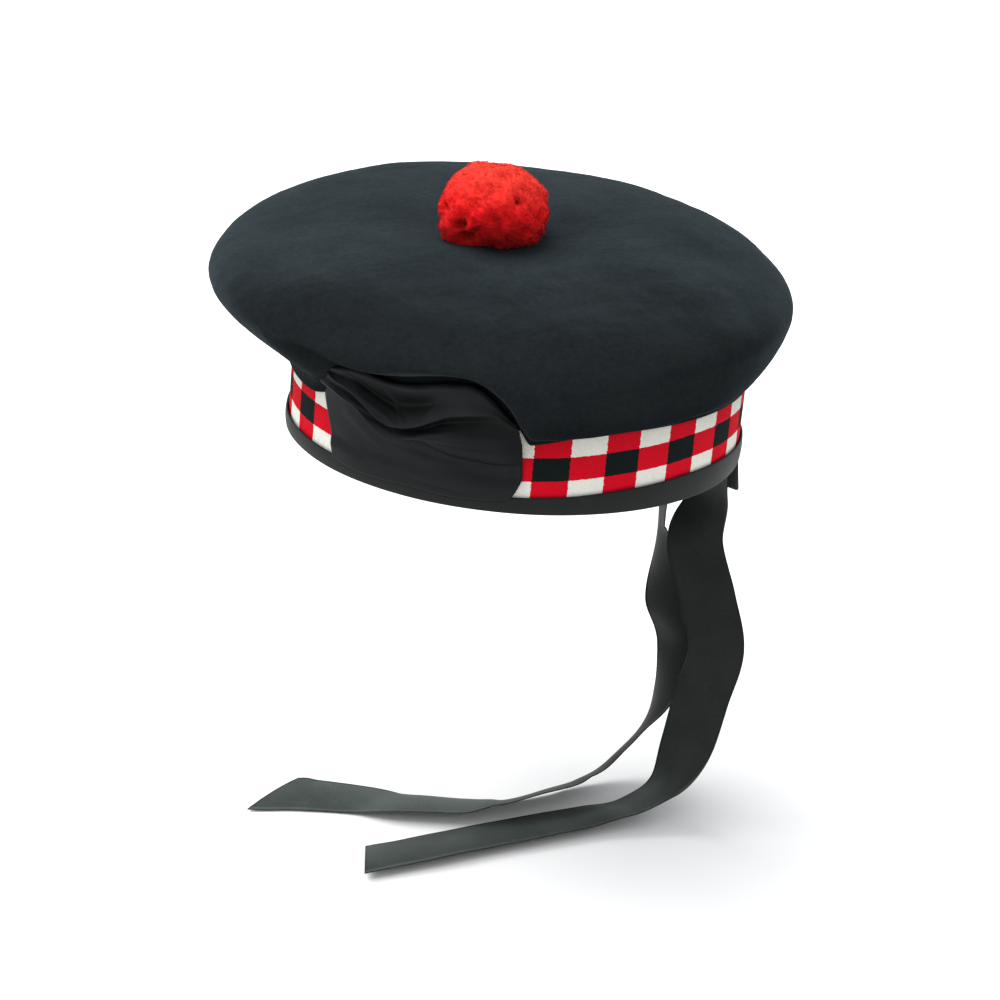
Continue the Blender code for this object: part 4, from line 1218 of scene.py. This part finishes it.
def felt_group():
    """Milled wool: slow mottling, clumps of the pile and fine crossing fibres, with painted sheen and shade: lighter
    where it is seen edge-on, faces up and lies above the hem, darker where it faces the view or turns down.
    """
    group, given, result = node_group(
        "milled_wool",
        [("Vector", "Vector"), ("Normal", "Vector"), ("Sheen_above_hem", "Float"), ("Deep", "Color"), ("Raised", "Color")],
        [("Color", "Color"), ("Height", "Float"), ("Roughness", "Float")],
    )
    vector = given.outputs["Vector"]
    slow = put(group, "TexNoise", {"Vector": vector, "Scale": 34.0, "Detail": 3.0, "Roughness": 0.6})
    clump = put(group, "TexNoise", {"Vector": vector, "Scale": 380.0, "Detail": 4.0, "Roughness": 0.7})
    streak = put(group, "Mapping", {"Vector": vector, "Rotation": (0.5, 0.3, 0.8), "Scale": (260.0, 1500.0, 1500.0)})
    fibre = put(group, "TexNoise", {"Vector": streak.outputs[0], "Scale": 1.0, "Detail": 2.0, "Distortion": 1.2})
    cross = put(group, "Mapping", {"Vector": vector, "Rotation": (1.1, 0.2, -0.7), "Scale": (1500.0, 260.0, 1500.0)})
    fibre_b = put(group, "TexNoise", {"Vector": cross.outputs[0], "Scale": 1.0, "Detail": 2.0, "Distortion": 1.2})
    hair = math_node(group, "MAXIMUM", fibre.outputs["Fac"], fibre_b.outputs["Fac"])
    tone = math_node(group, "MULTIPLY", slow.outputs["Fac"], 0.55)
    tone = math_node(group, "MULTIPLY_ADD", clump.outputs["Fac"], 0.55, tone)
    tone = math_node(group, "MULTIPLY_ADD", hair, 0.5, tone)
    share = put(group, "MapRange", {"Value": tone, "From Min": 0.55, "From Max": 1.1})
    body = mix_colour(group, share.outputs[0], given.outputs["Deep"], given.outputs["Raised"])
    # Painted sheen and shade: the colour is lightened and tinted blue-grey where the surface is seen edge-on and faces
    # up, and darkened where it faces the view or turns down.
    edge_on = put(group, "LayerWeight", {"Blend": 0.5})
    sheen_share = put(
        group, "MapRange", {"Value": edge_on.outputs["Facing"], "From Min": 0.40, "From Max": 0.68},
        interpolation_type="SMOOTHSTEP",
    )
    upright = put(group, "SeparateXYZ", {0: given.outputs["Normal"]})
    downward_shade = put(
        group, "MapRange",
        {"Value": upright.outputs["Z"], "From Min": -0.45, "From Max": 0.1, "To Min": 0.35, "To Max": 1.0},
    )
    painted_sheen = math_node(group, "MULTIPLY", sheen_share.outputs[0], downward_shade.outputs[0])
    painted_sheen = math_node(group, "MULTIPLY", painted_sheen, given.outputs["Sheen_above_hem"])
    sheen_shade_colour = mix_colour(group, painted_sheen, (0.52, 0.50, 0.48, 1), (0.92, 0.98, 0.99, 1))
    group.links.new(mix_colour(group, 1.0, body, sheen_shade_colour, "MULTIPLY"), result.inputs["Color"])
    height = math_node(group, "MULTIPLY_ADD", hair, 0.45, clump.outputs["Fac"])
    group.links.new(height, result.inputs["Height"])
    group.links.new(math_node(group, "MULTIPLY_ADD", slow.outputs["Fac"], -0.1, 0.98), result.inputs["Roughness"])
    return group


def ribs_group():
    """Ribbed silk ribbon: ribs across its length, finer warp along it, slow changes of its tone and roughness, and
    painted sheen that lightens it where it is seen edge-on and darkens it where it faces the view.
    """
    group, given, result = node_group(
        "ribbed_ribbon",
        [
            ("UV", "Vector"),
            ("Vector", "Vector"),
            ("Pitch", "Float"),
            ("Sheen_gain", "Float"),
            ("Deep", "Color"),
            ("Raised", "Color"),
        ],
        [("Color", "Color"), ("Height", "Float"), ("Roughness", "Float")],
    )
    split = put(group, "SeparateXYZ", {0: given.outputs["UV"]})
    turn = math_node(group, "DIVIDE", math_node(group, "MULTIPLY", split.outputs["X"], TAU), given.outputs["Pitch"])
    rib = math_node(group, "MULTIPLY_ADD", math_node(group, "SINE", turn), 0.5, 0.5)
    ends = math_node(group, "SINE", math_node(group, "MULTIPLY", split.outputs["Y"], TAU / 0.3))
    warp = math_node(group, "MULTIPLY_ADD", ends, 0.5, 0.5)
    slow = put(group, "TexNoise", {"Vector": given.outputs["Vector"], "Scale": 70.0, "Detail": 3.0, "Roughness": 0.55})
    fine = put(group, "TexNoise", {"Vector": given.outputs["Vector"], "Scale": 900.0, "Detail": 2.0})
    tone = math_node(group, "MULTIPLY_ADD", rib, 0.35, math_node(group, "MULTIPLY", slow.outputs["Fac"], 0.6))
    tone = math_node(group, "MULTIPLY_ADD", fine.outputs["Fac"], 0.25, tone)
    share = put(group, "MapRange", {"Value": tone, "From Min": 0.25, "From Max": 0.95})
    body = mix_colour(group, share.outputs[0], given.outputs["Deep"], given.outputs["Raised"])
    # Painted sheen: the colour is darkened to 0.62 where the ribbon faces the view and lightened up to the given gain
    # where it is seen edge-on.
    edge_on = put(group, "LayerWeight", {"Blend": 0.5})
    edge_sheen = put(
        group, "MapRange",
        {
            "Value": edge_on.outputs["Facing"],
            "From Min": 0.25,
            "From Max": 0.7,
            "To Min": 0.62,
            "To Max": given.outputs["Sheen_gain"],
        },
        interpolation_type="SMOOTHSTEP",
    )
    group.links.new(scaled_colour(group, body, edge_sheen.outputs[0]), result.inputs["Color"])
    height = math_node(group, "MULTIPLY_ADD", warp, 0.25, rib)
    height = math_node(group, "MULTIPLY_ADD", fine.outputs["Fac"], 0.4, height)
    group.links.new(height, result.inputs["Height"])
    group.links.new(math_node(group, "MULTIPLY_ADD", slow.outputs["Fac"], 0.25, 0.40), result.inputs["Roughness"])
    return group


def dicing_group():
    """Diced weave: three rows of checks whose edges step from thread to thread, the threads' own relief, and painted
    shade that darkens the upper rows, as under the crown's hem.
    """
    group, given, result = node_group(
        "diced_weave",
        [("UV", "Vector"), ("Vector", "Vector"), ("Red", "Color"), ("White", "Color"), ("Black", "Color")],
        [("Color", "Color"), ("Height", "Float")],
    )
    split = put(group, "SeparateXYZ", {0: given.outputs["UV"]})
    ends = math_node(group, "MULTIPLY", split.outputs["X"], 26.0)
    picks = math_node(group, "MULTIPLY", split.outputs["Y"], 18.0)
    end_index = math_node(group, "FLOOR", ends)
    pick_index = math_node(group, "FLOOR", picks)
    pick_noise = put(group, "TexWhiteNoise", {"W": pick_index}, noise_dimensions="1D")
    end_noise = put(group, "TexWhiteNoise", {"W": end_index}, noise_dimensions="1D")
    nudge = math_node(group, "MULTIPLY_ADD", pick_noise.outputs["Value"], 0.03, -0.015)
    lift = math_node(group, "MULTIPLY_ADD", end_noise.outputs["Value"], 0.03, -0.015)
    column = math_node(group, "FLOOR", math_node(group, "ADD", split.outputs["X"], nudge))
    row = math_node(group, "FLOOR", math_node(group, "ADD", split.outputs["Y"], lift))
    odd = math_node(group, "FLOORED_MODULO", column, 2.0)
    middle = math_node(group, "COMPARE", row, 1.0, 0.5)
    even_column = mix_colour(group, middle, given.outputs["Red"], given.outputs["Black"])
    odd_column = mix_colour(group, middle, given.outputs["White"], given.outputs["Red"])
    colour = mix_colour(group, odd, even_column, odd_column)
    warp = math_node(group, "ABSOLUTE", math_node(group, "SINE", math_node(group, "MULTIPLY", ends, math.pi)))
    weft = math_node(group, "ABSOLUTE", math_node(group, "SINE", math_node(group, "MULTIPLY", picks, math.pi)))
    over = math_node(group, "FLOORED_MODULO", math_node(group, "ADD", end_index, pick_index), 2.0)
    thread = put(group, "Mix", {0: over, 2: math_node(group, "MULTIPLY", warp, 1.0), 3: weft})
    soft = put(group, "TexNoise", {"Vector": given.outputs["Vector"], "Scale": 700.0, "Detail": 3.0})
    slow = put(group, "TexNoise", {"Vector": given.outputs["Vector"], "Scale": 60.0, "Detail": 2.0})
    shade = math_node(group, "MULTIPLY_ADD", thread.outputs[0], 0.22, 0.66)
    shade = math_node(group, "MULTIPLY_ADD", soft.outputs["Fac"], 0.20, shade)
    shade = math_node(group, "MULTIPLY_ADD", slow.outputs["Fac"], 0.12, math_node(group, "SUBTRACT", shade, 0.06))
    # Painted shade under the crown's hem: darker towards the upper row, a little lighter at the lowest.
    upper = put(
        group, "MapRange",
        {"Value": split.outputs["Y"], "From Min": 0.3, "From Max": 2.6, "To Min": 1.06, "To Max": 0.80},
    )
    shade = math_node(group, "MULTIPLY", shade, upper.outputs[0])
    group.links.new(scaled_colour(group, colour, shade), result.inputs["Color"])
    height = math_node(group, "MULTIPLY_ADD", soft.outputs["Fac"], 0.5, thread.outputs[0])
    group.links.new(height, result.inputs["Height"])
    return group


def felt_material(group):
    """Dark milled wool, with painted sheen let in only above its lower flank and painted shade that darkens it towards
    its hem.
    """
    material, tree, shader = new_material(
        "wool_felt", Sheen_Weight=0.05, Sheen_Roughness=0.35, Specular_IOR_Level=0.03
    )
    shader.inputs["Sheen Tint"].default_value = (0.60, 0.72, 0.80, 1.0)
    place = tree.nodes.new("ShaderNodeTexCoord").outputs
    height = put(tree, "SeparateXYZ", {0: place["Object"]}).outputs["Z"]
    # Painted sheen grows in from 37 mm to 52 mm, which keeps it off the lower flank and the hem.
    sheen_share = put(tree, "MapRange", {"Value": height, "From Min": 37 * MM, "From Max": 52 * MM})
    felt = use_group(tree, group, {
        "Vector": place["Object"],
        "Normal": place["Normal"],
        "Sheen_above_hem": sheen_share.outputs[0],
        "Deep": (0.0095, 0.0125, 0.0145, 1),
        "Raised": (0.0220, 0.0290, 0.0325, 1),
    })
    # Painted shade: the felt is darkened to half towards its hem.
    hem_shade = put(
        tree, "MapRange", {"Value": height, "From Min": 30 * MM, "From Max": 44 * MM, "To Min": 0.5, "To Max": 1.0}
    )
    tree.links.new(scaled_colour(tree, felt.outputs["Color"], hem_shade.outputs[0]), shader.inputs["Base Color"])
    tree.links.new(felt.outputs["Roughness"], shader.inputs["Roughness"])
    bump(tree, shader, felt.outputs["Height"], 0.55, 0.5 * MM)
    return material


def ribbon_material(name, group, sockets, gloss, strength=0.35, driven=None):
    """Ribbed ribbon from the group's own sockets. driven is (a number's output from the material's tree, low, high,
    factor at low, factor at high) and scales the colour."""
    material, tree, shader = new_material(name, Specular_IOR_Level=gloss)
    place = tree.nodes.new("ShaderNodeTexCoord").outputs["Object"]
    weave = put(tree, "UVMap", uv_map="weave")
    ribs = use_group(tree, group, {"UV": weave.outputs[0], "Vector": place, **sockets})
    colour = ribs.outputs["Color"]
    if driven:
        source, low, high, at_low, at_high = driven
        limits = {"From Min": low, "From Max": high, "To Min": at_low, "To Max": at_high}
        share = put(tree, "MapRange", {"Value": source(tree), **limits}, interpolation_type="SMOOTHSTEP")
        colour = scaled_colour(tree, colour, share.outputs[0])
    tree.links.new(colour, shader.inputs["Base Color"])
    tree.links.new(ribs.outputs["Roughness"], shader.inputs["Roughness"])
    bump(tree, shader, ribs.outputs["Height"], strength, 0.12 * MM)
    return material


def fold_shade_share(tree):
    """How far the cockade's folds stand off, or on the panel a set share, from the mesh's own attribute; it sets the
    silk's painted shade and light.
    """
    return put(tree, "Attribute", attribute_name="raised").outputs["Fac"]


def own_height(tree):
    """Height of the surface in the frame."""
    place = tree.nodes.new("ShaderNodeTexCoord").outputs["Object"]
    return put(tree, "SeparateXYZ", {0: place}).outputs["Z"]


def ribbon_materials():
    """The tails' silk, with painted shade higher up and painted light where it lies on the floor; the right tail's
    silk, a little less glossy, with less painted sheen, strong painted shade over its hanging part and painted light on
    its end on the floor; the cockade's silk, with painted shade in its hollows and painted light on its crests; and the
    tape."""
    group = ribs_group()
    tails = {
        "Pitch": 0.7,
        "Sheen_gain": 1.75,
        "Deep": (0.0120, 0.0150, 0.0138, 1),
        "Raised": (0.0370, 0.0450, 0.0405, 1),
    }
    folds = {
        "Pitch": 0.6,
        "Sheen_gain": 0.85,
        "Deep": (0.0030, 0.0040, 0.0045, 1),
        "Raised": (0.0120, 0.0150, 0.0165, 1),
    }
    rim = {
        "Pitch": TAPE_PITCH,
        "Sheen_gain": 0.70,
        "Deep": (0.0080, 0.0096, 0.0090, 1),
        "Raised": (0.0235, 0.0268, 0.0250, 1),
    }
    # Painted shade and light: the silk is darkened higher up, near the crown's shadow, and lightened where it lies on
    # the floor.
    silk = ribbon_material("silk_ribbon", group, tails, 0.10, 0.35, (own_height, -178 * MM, -70 * MM, 1.10, 0.64))
    # The right tail's silk: less painted sheen and less gloss, strong painted shade over its hanging part, and painted
    # light where its end lies on the floor.
    back = {**tails, "Sheen_gain": 1.0}
    shaded_tail_silk = ribbon_material("silk_shaded_tail", group, back, 0.06, 0.35, (own_height, -179 * MM, -162 * MM, 2.7, 0.42))
    # Painted shade in the cockade's hollows and painted light on its crests, set by how far the silk stands off.
    folded_silk = ribbon_material("folded_silk", group, folds, 0.10, 0.25, (fold_shade_share, 0.12, 1.0, 0.11, 1.6))
    tape = ribbon_material("rim_tape", group, rim, 0.10)
    return silk, shaded_tail_silk, folded_silk, tape


def dicing_material(group):
    """Diced wool in red, white and near-black."""
    material, tree, shader = new_material("diced_wool", Roughness=0.9, Specular_IOR_Level=0.06)
    place = tree.nodes.new("ShaderNodeTexCoord").outputs["Object"]
    weave = put(tree, "UVMap", uv_map="weave")
    dicing = use_group(tree, group, {
        "UV": weave.outputs[0],
        "Vector": place,
        "Red": (0.56, 0.003, 0.014, 1),
        "White": (0.71, 0.70, 0.635, 1),
        "Black": (0.005, 0.009, 0.009, 1),
    })
    tree.links.new(dicing.outputs["Color"], shader.inputs["Base Color"])
    bump(tree, shader, dicing.outputs["Height"], 0.5, 0.2 * MM)
    return material


def yarn_material():
    """Red wool: each fibre a little its own shade, tufts from crimson to scarlet, a painted highlight that lightens its
    top, painted shade towards its foot and in its pits, and the relief of cut yarn."""
    material, tree, shader = new_material(
        "red_yarn",
        Roughness=0.95,
        Specular_IOR_Level=0.06,
        Sheen_Weight=0.12,
        Sheen_Roughness=0.5,
        Subsurface_Weight=0.2,
        Subsurface_Scale=2 * MM,
    )
    shader.inputs["Subsurface Radius"].default_value = (1.0, 0.25, 0.18)
    shader.inputs["Sheen Tint"].default_value = (1.0, 0.22, 0.18, 1.0)
    shade = put(tree, "Attribute", attribute_name="shade").outputs["Fac"]
    place = tree.nodes.new("ShaderNodeTexCoord").outputs["Object"]
    fuzz = put(tree, "TexNoise", {"Vector": place, "Scale": 1100.0, "Detail": 4.0, "Roughness": 0.65})
    tuft = put(tree, "TexNoise", {"Vector": place, "Scale": 230.0, "Detail": 3.0, "Distortion": 0.8})
    share = math_node(tree, "MULTIPLY_ADD", shade, 0.5, math_node(tree, "MULTIPLY", tuft.outputs["Fac"], 1.1))
    spread = put(tree, "MapRange", {"Value": share, "From Min": 0.5, "From Max": 1.1})
    tone = mix_colour(tree, spread.outputs[0], (0.66, 0.003, 0.010, 1), (0.86, 0.016, 0.013, 1))
    dim = math_node(tree, "MULTIPLY_ADD", fuzz.outputs["Fac"], 0.34, 0.78)
    height = math_node(tree, "SUBTRACT", own_height(tree), CROWN_HEIGHT)
    # Painted highlight: the top of the ball is mixed towards a lighter, pinker red, as where the light falls on it.
    top_highlight = put(
        tree, "MapRange", {"Value": height, "From Min": 14 * MM, "From Max": 32 * MM, "To Min": 0.0, "To Max": 0.55}
    )
    tone = mix_colour(tree, top_highlight.outputs[0], tone, (0.80, 0.078, 0.048, 1))
    # Painted shade: the ball is darkened towards its foot, where it sits on the crown.
    foot_shade = put(
        tree, "MapRange",
        {"Value": height, "From Min": -1 * MM, "From Max": 17 * MM, "To Min": 0.42, "To Max": 1.0},
        interpolation_type="SMOOTHSTEP",
    )
    dim = math_node(tree, "MULTIPLY", dim, foot_shade.outputs[0])
    # Painted shade in the pits of the wool.
    hollow = put(tree, "Attribute", attribute_name="hollow").outputs["Fac"]
    dim = math_node(tree, "MULTIPLY", dim, math_node(tree, "MULTIPLY_ADD", hollow, -0.82, 1.0))
    tree.links.new(scaled_colour(tree, tone, dim), shader.inputs["Base Color"])
    relief = math_node(tree, "MULTIPLY_ADD", tuft.outputs["Fac"], 1.5, fuzz.outputs["Fac"])
    bump(tree, shader, relief, 0.5, 0.5 * MM)
    return material


def floor_material():
    """Plain pale floor with a faint slow change of tone."""
    material, tree, shader = new_material("pale_floor", Roughness=0.9, Specular_IOR_Level=0.1)
    place = tree.nodes.new("ShaderNodeTexCoord").outputs["Object"]
    slow = put(tree, "TexNoise", {"Vector": place, "Scale": 3.0, "Detail": 2.0})
    tree.links.new(
        mix_colour(tree, slow.outputs["Fac"], (0.80, 0.80, 0.80, 1), (0.84, 0.84, 0.84, 1)), shader.inputs["Base Color"]
    )
    return material


FLOOR_HALF = 30.0
# The photograph's view: FOCAL and CENTRE are in pixels of a picture of PICTURE pixels a side.
CAMERA_TURN = LEAN_TURN
CAMERA_LIFT = math.radians(20.31)
CAMERA_ROLL = math.radians(5.32)
CAMERA_AWAY = 1100 * MM
FOCAL = 2591.6
PICTURE = 1000
SENSOR = 36
CENTRE = (513.4, 430.4)


def build_floor(material):
    """One large flat square under the tails' ends, kept out of the object."""
    size = FLOOR_HALF
    corners = [(-size, -size, FLOOR), (size, -size, FLOOR), (size, size, FLOOR), (-size, size, FLOOR)]
    mesh = bpy.data.meshes.new("floor")
    mesh.from_pydata(corners, [], [(0, 1, 2, 3)])
    mesh.materials.append(material)
    floor = bpy.data.objects.new("floor", mesh)
    bpy.context.scene.collection.objects.link(floor)


def build_camera():
    """Camera at the photograph's angle: it stands a set way from the origin and is turned so that the origin falls
    on the picture's point CENTRE."""
    sin, cos = math.sin, math.cos
    back = Vector((sin(CAMERA_TURN) * cos(CAMERA_LIFT), -cos(CAMERA_TURN) * cos(CAMERA_LIFT), sin(CAMERA_LIFT)))
    right = Vector((cos(CAMERA_TURN), sin(CAMERA_TURN), 0))
    up = back.cross(right)
    image_right = cos(CAMERA_ROLL) * right + sin(CAMERA_ROLL) * up
    image_up = cos(CAMERA_ROLL) * up - sin(CAMERA_ROLL) * right
    half = PICTURE / 2
    ahead = -FOCAL * back + (half - CENTRE[0]) * image_right + (CENTRE[1] - half) * image_up
    new_back = -ahead.normalized()
    new_right = (image_right - image_right.dot(new_back) * new_back).normalized()
    new_up = new_back.cross(new_right)
    turned = Matrix((new_right, new_up, new_back)).transposed().to_4x4()
    data = bpy.data.cameras.new("camera")
    data.sensor_width = SENSOR
    data.lens = SENSOR * FOCAL / PICTURE
    data.clip_start, data.clip_end = 0.05, 100
    camera = bpy.data.objects.new("camera", data)
    camera.matrix_world = Matrix.Translation(CAMERA_AWAY * back) @ turned
    bpy.context.scene.collection.objects.link(camera)
    bpy.context.scene.camera = camera


def add_light(name, kind, place, energy, size, colour=(1, 1, 1)):
    """A light at a place given along, outward and upward, aimed at the crown."""
    data = bpy.data.lights.new(name, kind)
    data.energy = energy
    data.color = colour
    if kind == "SUN":
        data.angle = size
    else:
        data.shape = "DISK"
        data.size = size
    light = bpy.data.objects.new(name, data)
    where = Vector(place[0] * ALONG + place[1] * OUTWARD + place[2] * UPWARD)
    light.matrix_world = Matrix.Translation(where) @ where.to_track_quat("Z", "Y").to_matrix().to_4x4()
    bpy.context.scene.collection.objects.link(light)


def build_lights():
    """Soft studio light: a broad key from the upper left and a dim even surround."""
    add_light("key", "SUN", (-0.52, -0.12, 1.0), 3.7, math.radians(62))
    add_light("card", "AREA", (-1.1, 0.75, -0.08), 3.5, 0.9)
    world = bpy.data.worlds.new("studio")
    bpy.context.scene.world = world
    world.use_nodes = True
    world.node_tree.nodes["Background"].inputs["Color"].default_value = (0.97, 0.985, 1.0, 1)
    world.node_tree.nodes["Background"].inputs["Strength"].default_value = 0.90


def main():
    """Builds the camera, the materials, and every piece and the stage."""
    build_camera()
    bpy.context.scene.view_settings.view_transform = "Standard"
    felt = felt_material(felt_group())
    silk, shaded_tail_silk, folded_silk, tape = ribbon_materials()
    build_crown(felt)
    build_headband(dicing_material(dicing_group()))
    build_rim_binding(tape)
    build_cockade_panel(folded_silk)
    build_cockade_bow(folded_silk)
    build_toorie(yarn_material())
    build_tail("ribbon_tail_left", "tail_left", LEFT_TAIL, 12 * MM, 51, silk)
    build_tail("ribbon_tail_right", "tail_right", RIGHT_TAIL, 24 * MM, 52, shaded_tail_silk)
    build_back_tab(silk)
    build_floor(floor_material())
    build_lights()


main()
